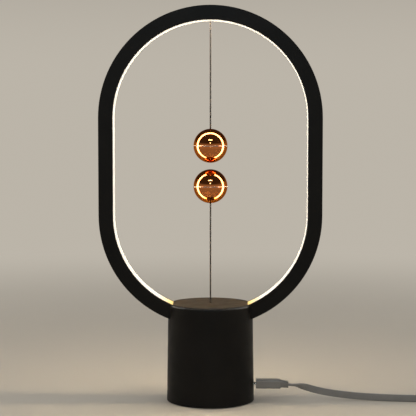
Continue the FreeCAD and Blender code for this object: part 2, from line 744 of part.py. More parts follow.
def make_top_cover():
    body = new_body("TopCover")
    disc = new_sketch(body, "XY_Plane", COVER_UNDER)
    draw_circle(disc, 0, 0, COVER_RADIUS)
    pad(body, disc, "cover_thickness")
    top = number("base_height")
    round_edges(body, lambda e: lies_at_height(e, top), "cover_edge")
    hole = new_sketch(body, "XY_Plane", COVER_UNDER)
    draw_circle(hole, 0, 0, "eyelet_radius + screw_gap")
    pocket(body, hole)
    cut_ring_slot(body)

    # screw posts that reach down to the deck, one each side of the ring
    post_foot = "(" + DECK_TOP + " + rest_gap)"
    post = new_sketch(body, "XY_Plane", post_foot)
    draw_circle(post, 0, "cover_post_place", "cover_post_radius")
    post_pad = pad(body, post, COVER_UNDER + " - " + post_foot)
    bore = new_sketch(body, "XY_Plane", post_foot)
    draw_circle(bore, 0, "cover_post_place", SCREW_HOLE)
    bore_cut = pocket(body, bore, "cover_screw_length - deck_thickness + bore_end")
    mirror_body(body, [post_pad, bore_cut], "XZ_Plane")
    return node(body, "top_cover")


def make_eyelet():
    body = new_body("Eyelet")
    profile = new_sketch(body, "XZ_Plane")
    draw_outline(profile, [
        (CORD_HOLE, "base_height"),
        (CORD_HOLE, "base_height - eyelet_length"),
        ("eyelet_radius", "base_height - eyelet_length"),
        ("eyelet_flange_radius", COVER_UNDER + " - eyelet_flange_tall"),
        ("eyelet_flange_radius", COVER_UNDER),
        ("eyelet_radius", COVER_UNDER),
        ("eyelet_radius", "base_height"),
    ])
    revolve(body, profile)
    top = number("base_height")
    wall_middle = (number(CORD_HOLE) + number("eyelet_radius")) / 2
    inner = lambda e: lies_at_height(e, top) and middle_reach(e) < wall_middle
    round_edges(body, inner, "eyelet_mouth")
    return node(body, "string_eyelet")


def make_base_plate():
    body = new_body("BasePlate")
    disc = new_sketch(body, "XY_Plane", "pad_thickness")
    draw_circle(disc, 0, 0, PLATE_RADIUS)
    pad(body, disc, "plate_thickness")
    hole = new_sketch(body, "XY_Plane", "pad_thickness")
    draw_circle(hole, 0, POST_CIRCLE, SCREW_HOLE)
    hole_cut = pocket(body, hole)
    seat = new_sketch(body, "XY_Plane", "pad_thickness")
    draw_circle(seat, 0, POST_CIRCLE, "screw_head_radius + cover_gap")
    seat_cut = pocket(body, seat, "screw_head_tall + screw_gap")
    pattern_round(body, [hole_cut, seat_cut], BASE_POSTS)
    for across in BOARD_POSTS_X:
        post = new_sketch(body, "XY_Plane", PLATE_TOP)
        draw_circle(post, across, "board_post_y", "board_post_radius")
        post_pad = pad(body, post, BOARD_BOTTOM + " - " + PLATE_TOP)
        bore = new_sketch(body, "XY_Plane", PLATE_TOP)
        draw_circle(bore, across, "board_post_y", SMALL_SCREW_HOLE)
        bore_cut = pocket(body, bore)
        mirror_body(body, [post_pad, bore_cut], "XZ_Plane")
    return node(body, "base_plate")


def make_rubber_pad():
    body = new_body("RubberPad")
    disc = new_sketch(body, "XY_Plane")
    draw_circle(disc, 0, 0, PAD_RADIUS)
    pad(body, disc, "pad_thickness")
    round_edges(body, lambda e: lies_at_height(e, 0), "pad_edge")
    return node(body, "rubber_pad")


def make_ballast():
    body = new_body("Ballast")
    disc = new_sketch(body, "XY_Plane", PLATE_TOP)
    draw_circle(disc, 0, 0, BALLAST_RADIUS)
    pad(body, disc, "ballast_thickness")
    top = number(BALLAST_TOP)
    round_edges(body, lambda e: lies_at_height(e, top), "ballast_chamfer", "Chamfer")
    hole = new_sketch(body, "XY_Plane", PLATE_TOP)
    draw_circle(hole, BOARD_POSTS_X[0], "board_post_y", "board_post_radius + rest_gap")
    hole_cut = pocket(body, hole)
    mirror_body(body, [hole_cut], "XZ_Plane")
    return node(body, "ballast_weight")


def make_deck():
    """The deck on the shell's posts, with the cradle that carries the ring."""
    body = new_body("Deck")
    disc = new_sketch(body, "XY_Plane", DECK_BOTTOM)
    draw_circle(disc, 0, 0, DECK_RADIUS)
    pad(body, disc, "deck_thickness")
    cradle = new_sketch(body, "XZ_Plane")
    cradle_top = RING_CENTRE + " - sqrt(ring_radius^2 - cradle_length^2 / 4)"
    draw_box(cradle, "-cradle_length / 2", "cradle_length / 2", DECK_TOP, cradle_top)
    pad(body, cradle, "cradle_width", middle=True)
    seat = new_sketch(body, "XZ_Plane")
    draw_circle(seat, 0, RING_CENTRE, "ring_radius + glue_gap")
    pocket(body, seat, middle=True)
    passage = new_sketch(body, "XY_Plane", DECK_BOTTOM)
    draw_circle(passage, 0, 0, "ring_cord_hole")
    draw_circle(passage, "wire_hole_x", "wire_hole_y", "wire_hole_radius")
    pocket(body, passage)
    post_hole = new_sketch(body, "XY_Plane", DECK_BOTTOM)
    draw_circle(post_hole, 0, POST_CIRCLE, "screw_radius + cover_gap")
    pattern_round(body, [pocket(body, post_hole)], BASE_POSTS)
    screws = new_sketch(body, "XY_Plane", DECK_BOTTOM)
    for across in ("ring_screw_x", "-ring_screw_x"):
        for up in ("ring_screw_y", "-ring_screw_y"):
            draw_circle(screws, across, up, "screw_radius + cover_gap")
    for up in ("cover_post_place", "-cover_post_place"):
        draw_circle(screws, 0, up, "screw_radius + cover_gap")
    for across in ("guide_screw_x", "-guide_screw_x"):
        draw_circle(screws, across, 0, SMALL_SCREW_HOLE)
    pocket(body, screws)
    return node(body, "frame_deck")


def on_post_circle(i):
    """Place of the i-th screw post, from the one on +Y."""
    angle = 90 + 360 / BASE_POSTS * i
    return POST_CIRCLE + " * cos(%g)" % angle, POST_CIRCLE + " * sin(%g)" % angle


def big_screw(length, x, y, z, head_down=True):
    head = ("screw_head_radius", "screw_head_tall")
    return screw("screw_radius", length, *head, x, y, z, head_down)


def small_screw(length, x, y, z, head_down=True):
    head = ("small_head_radius", "small_head_tall")
    return screw("small_screw_radius", length, *head, x, y, z, head_down)


def make_base_screws():
    seat = "pad_thickness + screw_gap + screw_head_tall"
    plate = [big_screw("base_screw_length", *on_post_circle(i), seat) for i in range(BASE_POSTS)]
    node(group(plate), "base_plate_screws")
    deck = []
    for i in range(BASE_POSTS):
        deck.append(big_screw("base_screw_length", *on_post_circle(i), DECK_TOP, False))
    node(group(deck), "deck_screws")
    cover = []
    for y in ("cover_post_place", "-cover_post_place"):
        cover.append(big_screw("cover_screw_length", 0, y, DECK_BOTTOM))
    node(group(cover), "cover_screws")
    ring = []
    for x in ("ring_screw_x", "-ring_screw_x"):
        for y in ("ring_screw_y", "-ring_screw_y"):
            ring.append(big_screw("ring_screw_length", x, y, DECK_BOTTOM))
    node(group(ring), "ring_screws")
    guide = []
    for x in ("guide_screw_x", "-guide_screw_x"):
        guide.append(small_screw("guide_screw_length", x, 0, GUIDE_TOP))
    node(group(guide), "guide_screws")


# ---------------------------------------------------------------------------------------
# Ring
# ---------------------------------------------------------------------------------------
def ring_sketch(body, outside, inside, offset=0):
    sketch = new_sketch(body, "XZ_Plane", offset)
    draw_ring_outline(sketch, outside)
    draw_ring_outline(sketch, inside)
    return sketch


def make_ring_shell(label, rear):
    """Half of the ring: a flat face and half of the outer wall."""
    sign = "-" if rear else ""
    body = new_body("RingShell")
    wall = ring_sketch(body, "ring_radius", "ring_radius - ring_wall")
    pad(body, wall, "ring_depth / 2", back=rear)
    face = ring_sketch(body, "ring_radius", RING_INNER, sign + "(ring_depth / 2 - ring_wall)")
    pad(body, face, "ring_wall", back=rear)
    depth = number("ring_depth / 2") * (1 if rear else -1)
    round_edges(body, lambda e: lies_at_depth(e, depth), "ring_edge")

    # ledge behind the reflector
    ledge_inside = "(" + REFLECTOR_BACK + " + glue_gap)"
    ledge_outside = "(" + ledge_inside + " + ledge_ring_width)"
    ledge_start = sign + "(ring_depth / 2 - ring_wall - ledge_ring_width)"
    ledge = ring_sketch(body, ledge_outside, ledge_inside, ledge_start)
    pad(body, ledge, "ledge_ring_width", back=rear)

    # screw bosses at the bottom, over the deck's cradle
    boss = new_sketch(body, "XZ_Plane", sign + "(ring_screw_y - ring_boss_half)")
    low = "(" + RING_CENTRE + " - sqrt((ring_radius - ring_wall / 2)^2 - ring_screw_x^2))"
    across = ("ring_screw_x - ring_boss_half", "ring_screw_x + ring_boss_half")
    draw_box(boss, *across, low, low + " + ring_boss_tall")
    to_face = "ring_depth / 2 - ring_wall / 2 - ring_screw_y + ring_boss_half"
    boss_pad = pad(body, boss, to_face, back=rear)
    bore = new_sketch(body, "XY_Plane", DECK_TOP)
    screw_side = "ring_screw_y" if rear else "-ring_screw_y"
    draw_circle(bore, "ring_screw_x", screw_side, SCREW_HOLE)
    bore_cut = pocket(body, bore, "ring_screw_length - deck_thickness + bore_end")
    mirror_body(body, [boss_pad, bore_cut], "YZ_Plane")

    # way through for the lower cord
    passage = new_sketch(body, "XY_Plane", DECK_TOP)
    draw_circle(passage, 0, 0, "ring_cord_hole")
    pocket(body, passage, "base_height - " + DECK_TOP)
    return node(body, label)


def finish_strip(body):
    """Open a strip of the ring over the base and bore it for the upper cord."""
    wedge = new_sketch(body, "XZ_Plane")
    drop = "2 * ring_radius"
    reach = "2 * ring_radius * tan(strip_end_angle)"
    low = RING_CENTRE + " - " + drop
    draw_outline(wedge, [(0, RING_CENTRE), ("-" + reach, low), (reach, low)])
    pocket(body, wedge, middle=True)
    hole = new_sketch(body, "XY_Plane", RING_TOP_CENTRE)
    draw_circle(hole, 0, 0, CORD_HOLE)
    pocket(body, hole)
    return body


def make_strip():
    reflector = new_body("Reflector")
    back = ring_sketch(reflector, REFLECTOR_BACK, REFLECTOR_FLOOR)
    pad(reflector, back, "2 * " + CHANNEL_HALF, middle=True)
    inside = "(" + DIFFUSER_OUTER + " + glue_gap)"
    for sign in ("", "-"):
        offset = sign + "(" + CHANNEL_HALF + " - reflector_wall)"
        side = ring_sketch(reflector, REFLECTOR_BACK, inside, offset)
        pad(reflector, side, "reflector_wall", back=bool(sign))
    node(finish_strip(reflector), "reflector_channel")

    diffuser = new_body("Diffuser")
    pad(diffuser, ring_sketch(diffuser, DIFFUSER_OUTER, DIFFUSER_INNER),
        "2 * " + CHANNEL_HALF, middle=True)
    node(finish_strip(diffuser), "light_diffuser")

    tape = new_body("Tape")
    tape_back = "(" + REFLECTOR_FLOOR + " - glue_gap)"
    pad(tape, ring_sketch(tape, tape_back, "(" + tape_back + " - tape_thickness)"),
        "tape_width", middle=True)
    node(finish_strip(tape), "led_strip")


def make_leds():
    """LEDs along the tape, from the top down each side, in front of the tape's face."""
    radius = number(REFLECTOR_FLOOR + " - tape_thickness - led_thickness - 2 * glue_gap")
    straight = number("ring_straight")
    top = number(RING_TOP_CENTRE)
    quarter = radius * math.pi / 2
    last_angle = math.radians(90 - number("strip_end_angle"))
    end = quarter + straight + radius * last_angle - number("led_length")
    length, width, thick = (number("led_" + n) for n in ("length", "width", "thickness"))
    chips = []
    for side in (1, -1):
        along = number("led_pitch") / 2
        while along < end:
            if along < quarter:
                centre, angle = top, along / radius
            elif along < quarter + straight:
                centre, angle = top - (along - quarter), math.pi / 2
            else:
                centre, angle = number(RING_CENTRE), (along - straight) / radius
            chip = Part.makeBox(length, width, thick, Vector(-length / 2, -width / 2, radius))
            chip.rotate(Vector(0, 0, 0), Vector(0, 1, 0), side * math.degrees(angle))
            chip.translate(Vector(0, 0, centre))
            chips.append(chip)
            along += number("led_pitch")
    feature("strip_leds", Part.makeCompound(chips))


def make_anchor():
    """Plate and knot that hold the upper cord at the top of the ring."""
    under = "(" + RING_TOP_CENTRE + " + " + REFLECTOR_BACK + " + glue_gap)"
    plate = block("-anchor_length / 2", "-anchor_width / 2", under,
                  "anchor_length", "anchor_width", "anchor_thickness")
    bore = cylinder(CORD_HOLE, "2 * anchor_thickness", 0, 0, under + " - anchor_thickness / 2")
    node(cut(plate, bore), "anchor_plate")
    knot_middle = under + " + anchor_thickness + knot_radius"
    length = knot_middle + " - " + UPPER_TAIL_END
    cord = cylinder("cord_radius", length, 0, 0, UPPER_TAIL_END)
    node(join([cord, ball("knot_radius", 0, 0, knot_middle)]), "anchor_cord")


# ---------------------------------------------------------------------------------------
# Balls and cords
# ---------------------------------------------------------------------------------------
def make_half_shell(label, middle, up, with_magnet):
    """Half of a ball's shell; the other halves are the same turned over."""
    body = new_body("HalfShell")
    profile = new_sketch(body, "XZ_Plane")
    seam = "ball_seam / 2"
    inner = "(ball_radius - ball_wall)"
    radii = (number("ball_radius"), number(inner))
    rise = number(seam)
    for r in radii:
        circle = Part.Circle(Vector(0, 0, 0), Vector(0, 0, 1), r)
        profile.addGeometry(Part.ArcOfCircle(circle, math.asin(rise / r), math.pi / 2), False)
    out_foot, in_foot = (Vector(math.sqrt(r * r - rise * rise), rise, 0) for r in radii)
    profile.addGeometry(Part.LineSegment(out_foot, in_foot), False)
    profile.addGeometry(Part.LineSegment(Vector(0, radii[0], 0), Vector(0, radii[1], 0)), False)
    for edge, end, other, other_end in ((0, 1, 2, 1), (2, 2, 1, 1), (0, 2, 3, 1), (3, 2, 1, 2)):
        profile.addConstraint(Sketcher.Constraint("Coincident", edge, end, other, other_end))
    for edge, radius in ((0, "ball_radius"), (1, inner)):
        profile.addConstraint(Sketcher.Constraint("Coincident", edge, 3, -1, 1))
        fix_radius(profile, edge, radius)
        profile.addConstraint(Sketcher.Constraint("PointOnObject", edge, 2, -2))
    profile.addConstraint(Sketcher.Constraint("Horizontal", 2))
    index = profile.addConstraint(Sketcher.Constraint("DistanceY", -1, 1, 2, 1, rise))
    bind(profile, "Constraints[%d]" % index, seam)
    revolve(body, profile)
    if with_magnet:
        seat = new_sketch(body, "XY_Plane", MAGNET_BACK)
        draw_circle(seat, 0, 0, "magnet_radius + magnet_gap + magnet_seat_wall")
        draw_circle(seat, 0, 0, "magnet_radius + magnet_gap")
        pad(body, seat, "magnet_thickness")
    else:
        hole = new_sketch(body, "XY_Plane")
        draw_circle(hole, 0, 0, CORD_HOLE)
        pocket(body, hole)
    turn = UPRIGHT if up else Rotation(Vector(1, 0, 0), 180)
    body.Placement = Placement(Vector(0, 0, number(middle)), turn)
    bind(body, "Placement.Base.z", middle)
    return node(body, label)


def make_ball(which, middle, cord_up):
    """A ball hung on a cord from above, or held on one from below."""
    cord_half, magnet_half = ("top", "bottom") if cord_up else ("bottom", "top")
    make_half_shell("%s_ball_%s_shell" % (which, cord_half), middle, cord_up, False)
    make_half_shell("%s_ball_%s_shell" % (which, magnet_half), middle, not cord_up, True)
    low = middle + " - " + MAGNET_FRONT if cord_up else middle + " + " + MAGNET_BACK
    magnet = cylinder("magnet_radius", "magnet_thickness", 0, 0, low)
    node(magnet, "%s_ball_magnet" % which)
    inside = "(ball_radius - ball_wall - knot_radius)"
    if cord_up:
        knot = "(%s + %s)" % (middle, inside)
        top = UPPER_PIVOT + " - bead_radius - bead_gap"
        cord = cylinder("cord_radius", top + " - " + knot, 0, 0, knot)
    else:
        knot = "(%s - %s)" % (middle, inside)
        foot = "(" + LOWER_PIVOT + " + bead_radius + bead_gap)"
        cord = cylinder("cord_radius", knot + " - " + foot, 0, 0, foot)
    node(join([cord, ball("knot_radius", 0, 0, knot)]), which + "_cord")


# ---------------------------------------------------------------------------------------
# Pull switch
# ---------------------------------------------------------------------------------------
def make_guide():
    body = new_body("Guide")
    profile = new_sketch(body, "XZ_Plane")
    draw_outline(profile, [
        ("guide_radius", GUIDE_BOTTOM),
        ("guide_radius", DECK_BOTTOM),
        (CORD_HOLE, DECK_BOTTOM),
        (CORD_HOLE, GUIDE_TOP),
        ("guide_bore", GUIDE_TOP),
        ("guide_bore", GUIDE_BOTTOM),
    ])
    revolve(body, profile)
    flange = new_sketch(body, "XY_Plane", GUIDE_TOP)
    half_y = "guide_flange_y / 2"
    draw_box(flange, "-guide_flange_x / 2", "guide_flange_x / 2", "-" + half_y, half_y)
    draw_circle(flange, 0, 0, "guide_bore")
    pad(body, flange, DECK_BOTTOM + " - " + GUIDE_TOP)

    # plate that carries the micro switch
    plate = new_sketch(body, "XZ_Plane", "-(switch_width / 2 + screw_gap)")
    far = "-switch_near_x - switch_length"
    plate_top = GUIDE_TOP + " + screw_gap"
    in_wall = "-(guide_radius + guide_bore) / 2"
    draw_box(plate, far, in_wall, SWITCH_BOTTOM, plate_top)
    pad(body, plate, "switch_plate", back=True)
    screws = new_sketch(body, "XY_Plane", GUIDE_TOP)
    for across in ("guide_screw_x", "-guide_screw_x"):
        draw_circle(screws, across, 0, SMALL_SCREW_HOLE)
    pocket(body, screws)
    bores = new_sketch(body, "XZ_Plane")
    for x in SWITCH_SCREWS_X:
        draw_circle(bores, x, SWITCH_SCREWS_Z, SMALL_SCREW_HOLE)
    pocket(body, bores, along=False)
    return node(body, "switch_guide")


def make_guide_cap():
    body = new_body("GuideCap")
    disc = new_sketch(body, "XY_Plane", GUIDE_BOTTOM + " - cap_thickness")
    draw_circle(disc, 0, 0, "guide_radius")
    draw_circle(disc, 0, 0, "rod_radius + rest_gap")
    pad(body, disc, "cap_thickness")
    return node(body, "guide_cap")


def make_plunger():
    body = new_body("Plunger")
    profile = new_sketch(body, "XZ_Plane")
    bore = "cord_radius + screw_gap"
    piston_under = PISTON_TOP + " - piston_height"
    draw_outline(profile, [
        (bore, FOOT_TOP + " - foot_thickness"),
        ("foot_radius", FOOT_TOP + " - foot_thickness"),
        ("foot_radius", FOOT_TOP),
        ("rod_radius", FOOT_TOP),
        ("rod_radius", piston_under),
        ("piston_radius", piston_under),
        ("piston_radius", PISTON_TOP),
        (bore, PISTON_TOP),
    ])
    revolve(body, profile)
    return node(body, "pull_plunger")


def make_pull_cord():
    knot = "(" + FOOT_TOP + " - foot_thickness - knot_radius)"
    cord = cylinder("cord_radius", LOWER_TAIL_END + " - " + knot, 0, 0, knot)
    node(join([cord, ball("knot_radius", 0, 0, knot)]), "pull_cord")


def make_spring():
    """Round wire wound between the plunger's piston and the guide's top."""
    seat = number("spring_wire + screw_gap")
    start = number(PISTON_TOP) + seat
    height = number(GUIDE_TOP) - seat - start
    helix = Part.makeHelix(height / number("spring_turns"), height, number("spring_radius"))
    circle = Part.Circle(Vector(number("spring_radius"), 0, 0), Vector(0, 1, 0), number("spring_wire"))
    spring = Part.Wire(helix.Edges).makePipeShell([Part.Wire([circle.toShape()])], True, True)
    coil_length = number("spring_turns") * 2 * math.pi * number("spring_radius")
    print("spring volume over section times length",
          spring.Volume / (math.pi * number("spring_wire") ** 2 * coil_length))
    thing = feature("return_spring", spring)
    thing.Placement = Placement(Vector(0, 0, start), Rotation())


def make_micro_switch():
    left = "(-switch_near_x - switch_length)"
    half = "(switch_width / 2)"
    case = block(left, "-" + half, SWITCH_BOTTOM, "switch_length", "switch_width", "switch_tall")
    ears = []
    for y in ("-" + half, half + " - ear_thickness"):
        ears.append(block("-" + LEVER_PIVOT_X + " - ear_length / 2", y, SWITCH_BOTTOM + " - ear_drop",
                          "ear_length", "ear_thickness", "ear_drop"))
    solid = join([case] + ears)
    pivot = cylinder("lever_trunnion + screw_gap", "switch_width", "-" + LEVER_PIVOT_X, "-" + half,
                     LEVER_PIVOT_Z, TURN_TO_Y)
    button = cylinder("button_radius + screw_gap", "button_length + rest_gap", "-" + BUTTON_X, 0,
                      SWITCH_BOTTOM)
    bores = []
    for x in SWITCH_SCREWS_X:
        bores.append(cylinder(SMALL_SCREW_HOLE, "switch_width", x, "-" + half, SWITCH_SCREWS_Z, TURN_TO_Y))
    node(cut(solid, pivot, button, *bores), "micro_switch")

    terminals = []
    for x in SWITCH_TERMINALS_X:
        terminals.append(block(x + " - terminal_thickness / 2", "-terminal_width / 2", SWITCH_TOP,
                               "terminal_thickness", "terminal_width", "terminal_tall"))
    node(group(terminals), "switch_terminals")

    screws = []
    reach = "switch_width + switch_plate"
    for x in SWITCH_SCREWS_X:
        shank = cylinder("small_screw_radius", reach, x, "-" + half, SWITCH_SCREWS_Z, TURN_TO_Y)
        head_y = "-" + half + " - small_head_tall"
        head = cylinder("small_head_radius", "small_head_tall", x, head_y, SWITCH_SCREWS_Z, TURN_TO_Y)
        screws.append(join([shank, head]))
    node(group(screws), "micro_switch_screws")


def make_lever():
    blade_z = LEVER_PIVOT_Z + " - lever_thickness / 2"
    blade = block("-" + LEVER_PIVOT_X, "-lever_width / 2", blade_z,
                  LEVER_PIVOT_X + " - lever_reach", "lever_width", "lever_thickness")
    barrel = cylinder("lever_barrel", "lever_width", "-" + LEVER_PIVOT_X, "-lever_width / 2",
                      LEVER_PIVOT_Z, TURN_TO_Y)
    trunnion_half = "(switch_width / 2 - rest_gap)"
    trunnions = cylinder("lever_trunnion", "2 * " + trunnion_half, "-" + LEVER_PIVOT_X,
                         "-" + trunnion_half, LEVER_PIVOT_Z, TURN_TO_Y)
    node(join([blade, barrel, trunnions]), "switch_lever")
    button_z = LEVER_PIVOT_Z + " + lever_thickness / 2 + button_gap"
    button = cylinder("button_radius", "button_length", "-" + BUTTON_X, 0, button_z)
    node(button, "switch_button")


# ---------------------------------------------------------------------------------------
# Control board and socket
# ---------------------------------------------------------------------------------------
def make_board():
    board = block(BOARD_START, "-board_width / 2", BOARD_BOTTOM,
                  "board_length", "board_width", "board_thickness")
    holes = []
    screws = []
    for x in BOARD_POSTS_X:
        for y in ("board_post_y", "-board_post_y"):
            holes.append(cylinder(SMALL_SCREW_HOLE, "board_thickness", x, y, BOARD_BOTTOM))
            screws.append(small_screw("board_screw_length", x, y, BOARD_TOP, False))
    node(cut(board, *holes), "control_board")
    node(group(screws), "board_screws")

    def on_board(x, y, length, width, tall):
        return block("%s - %s / 2" % (x, length), "%s - %s / 2" % (y, width), BOARD_TOP,
                     length, width, tall)

    chip = on_board(CHIP_X, "chip_y", "chip_length", "chip_width", "chip_tall")
    capacitor = cylinder("capacitor_radius", "capacitor_tall", CHIP_X, "capacitor_y", BOARD_TOP)
    choke = on_board(CHIP_X, "choke_y", "choke_side", "choke_side", "choke_tall")
    plugs = []
    for y in ("connector_y", "-connector_y"):
        plugs.append(on_board(CONNECTOR_X, y, "connector_side", "connector_side", "connector_tall"))
    node(group([chip, capacitor, choke] + plugs), "board_components")


def make_flat_tube(label, start, length, width, tall, mouth_x, depth, from_front):
    """A round-sided flat tube along +X, bored from its mouth and closed at the other end."""
    body = new_body("FlatTube")
    reach = "(%s - %s) / 2" % (width, tall)
    ends = (("-" + reach, SOCKET_MIDDLE), (reach, SOCKET_MIDDLE))
    outer = new_sketch(body, "YZ_Plane", start)
    draw_slot(outer, *ends, tall + " / 2")
    pad(body, outer, length)
    mouth = new_sketch(body, "YZ_Plane", mouth_x)
    draw_slot(mouth, *ends, tall + " / 2 - socket_sheet")
    pocket(body, mouth, depth, along=from_front)
    return node(body, label)


def make_socket():
    back = "(" + SOCKET_FRONT + " - socket_length)"
    make_flat_tube("usb_socket", back, "socket_length", "socket_width", "socket_tall",
                   SOCKET_FRONT, "socket_length - socket_sheet", False)
    tongue_z = SOCKET_MIDDLE + " - tongue_thickness / 2"
    tongue = block(back + " + socket_sheet", "-tongue_width / 2", tongue_z,
                   "tongue_length", "tongue_width", "tongue_thickness")
    node(tongue, "socket_tongue")


def make_plug():
    tip_start = "(" + PLUG_FACE + " - tip_length)"
    make_flat_tube("plug_tip", tip_start, "tip_length", "tip_width", "tip_tall",
                   tip_start, "tip_bore", True)

    overmould = new_body("PlugOvermould")
    face = new_sketch(overmould, "YZ_Plane", PLUG_FACE)
    draw_box(face, "-plug_width / 2", "plug_width / 2",
             SOCKET_MIDDLE + " - plug_tall / 2", SOCKET_MIDDLE + " + plug_tall / 2")
    pad(overmould, face, "plug_length")
    length = number("plug_length")
    round_edges(overmould, lambda e: abs(e.Length - length) < NEAR, "plug_round")
    front = number(PLUG_FACE)
    round_edges(overmould, lambda e: e.BoundBox.XMax < front + NEAR, "plug_face_round")
    node(overmould, "plug_overmould")

    relief = new_body("PlugRelief")
    sections = []
    ends = ((PLUG_FACE + " + plug_length", "relief_width", "relief_tall", SOCKET_MIDDLE),
            (LEAD_START_X + " - screw_gap", "relief_end_width", "relief_end_tall", LEAD_EXIT))
    for x, width, tall, middle in ends:
        section = new_sketch(relief, "YZ_Plane", x)
        reach = "(%s - %s) / 2" % (width, tall)
        draw_slot(section, ("-" + reach, middle), (reach, middle), tall + " / 2")
        sections.append(section)
    join_sections(relief, sections)
    node(relief, "plug_strain_relief")


# ---------------------------------------------------------------------------------------
# Lead
# ---------------------------------------------------------------------------------------
# route of the lead's middle line, from the strain relief to the coil
LEAD_ROUTE = [
    (number(LEAD_START_X), 0.0, number(LEAD_EXIT)),
    (92.0, 0.2, 15.1),
    (112.0, 0.4, 8.9),
    (141.0, -0.6, 5.0),
    (172.0, -3.0, 3.56),
    (200.0, -7.0, 3.56),
    (232.0, -8.9, 3.7),
    (SIZES["coil_x"] - 4.0, SIZES["coil_y"] - SIZES["coil_outer_turn"], number(COIL_MIDDLE_Z)),
]
# route of the far end, from the coil's inner turn to the far plug, from the coil's middle
TAIL_ROUTE = [
    (-7.0, -SIZES["coil_inner_turn"]),
    (7.6, -SIZES["coil_inner_turn"]),
    (19.4, -28.0),
    (22.0, -12.9),
    (15.0, -0.8),
]


def flat_lead(points):
    """The flat lead on edge, through points."""
    path, radii = rounded_path(points, CORD_SHARE)
    heading = points[1] - points[0]
    sizes = [number("lead_" + name) for name in ("thickness", "width", "corner")]
    section = upright_section(points[0], heading, *sizes)
    shape = sweep(path, section)
    area = Part.Face(section).Area
    print("radii", [round(r, 1) for r in radii], "length", round(path.Length, 1),
          "volume over section times length", shape.Volume / area / path.Length)
    return shape


def make_lead():
    """The flat lead; its first stretch and its far end both run into the coil's turns."""
    feature("lead", flat_lead([Vector(*point) for point in LEAD_ROUTE]))
    x, y, z = (number(text) for text in ("coil_x", "coil_y", COIL_MIDDLE_Z))
    feature("lead_tail", flat_lead([Vector(x + across, y + along, z) for across, along in TAIL_ROUTE]))

    tall = number("lead_width")
    outside = number("coil_outer_turn + lead_thickness / 2 + cover_gap")
    inside = number("coil_inner_turn - lead_thickness / 2 - cover_gap")
    foot = Vector(x, y, number("coil_lift"))
    turns = Part.makeCylinder(outside, tall, foot).cut(Part.makeCylinder(inside, tall, foot))
    round_ones = [edge for edge in turns.Edges if edge.Length > 2 * tall]
    feature("lead_coil", turns.makeFillet(number("lead_corner"), round_ones))

    # tie round the turns on the coil's far side
    thick = number("tie_thickness")
    wide = number("tie_width")
    slack = number("inner_gap")
    low = number("coil_lift") - slack
    hole = Vector(x + inside - 2 * slack, y - wide / 2, low)
    across = outside - inside + 4 * slack
    up = tall + 2 * slack
    corner = hole - Vector(thick, 0, thick)
    loop = Part.makeBox(across + 2 * thick, wide, up + 2 * thick, corner)
    feature("coil_tie", loop.cut(Part.makeBox(across, wide, up, hole)))


def draw_centred_box(sketch, width, tall):
    draw_box(sketch, "-%s / 2" % width, "%s / 2" % width, "-%s / 2" % tall, "%s / 2" % tall)


def make_far_plug():
    """The plug at the lead's far end, lying in the coil's eye."""
    before, start = (Vector(x, y, 0) for x, y in TAIL_ROUTE[-2:])
    ahead = start - before
    heading = math.degrees(math.atan2(ahead.y, ahead.x))
    spot = Vector(number("coil_x") + start.x, number("coil_y") + start.y, number(COIL_MIDDLE_Z))
    turned = Placement(spot, Rotation(Vector(0, 0, 1), heading))

    relief = new_body("FarRelief")
    first = new_sketch(relief, "YZ_Plane")
    draw_centred_box(first, "far_relief_width", "far_relief_tall")
    second = new_sketch(relief, "YZ_Plane", "far_relief_length")
    draw_centred_box(second, "far_relief_end_width", "far_relief_end_tall")
    join_sections(relief, [first, second])
    node(relief, "far_plug_relief")

    overmould = new_body("FarOvermould")
    face = new_sketch(overmould, "YZ_Plane", "far_relief_length")
    draw_centred_box(face, "far_body_width", "far_body_tall")
    pad(overmould, face, "far_body_length")
    length = number("far_body_length")
    round_edges(overmould, lambda e: abs(e.Length - length) < NEAR, "far_body_round")
    node(overmould, "far_plug_overmould")

    shell = new_body("FarShell")
    outline = new_sketch(shell, "YZ_Plane", "far_relief_length + far_body_length")
    draw_centred_box(outline, "far_shell_width", "far_shell_tall")
    pad(shell, outline, "far_shell_length")
    mouth = new_sketch(shell, "YZ_Plane", "far_relief_length + far_body_length + far_shell_length")
    draw_centred_box(mouth, "(far_shell_width - 2 * far_shell_sheet)",
                     "(far_shell_tall - 2 * far_shell_sheet)")
    pocket(shell, mouth, "far_shell_length - far_shell_floor", along=False)
    node(shell, "far_plug_shell")
    for body in (relief, overmould, shell):
        body.Placement = turned


# ---------------------------------------------------------------------------------------
# Wires in the base
# ---------------------------------------------------------------------------------------
# routes of the wires between their two ends: the switch's with heights from the deck's
# underside, the strip's with heights from the top of the base
SWITCH_WIRES = [
    [(-21, -10, -10), (-8, -15, -20), (4, -15, -34)],
    [(-7.5, -9, -11), (0, -12, -22), (8, -11, -35)],
]
STRIP_WIRE = [(24.5, 18, -57.6), (26, 18.8, -39.6), (26, 18.8, -23.6), (20, 17.4, -10.6),
              (14, 16.6, -5.3), (12, 8, -5.3), (20, 2, -7.4), (31, 1, -8.4)]
WIRE_SPACING = 1.6
WIRE_RISE = 5.0


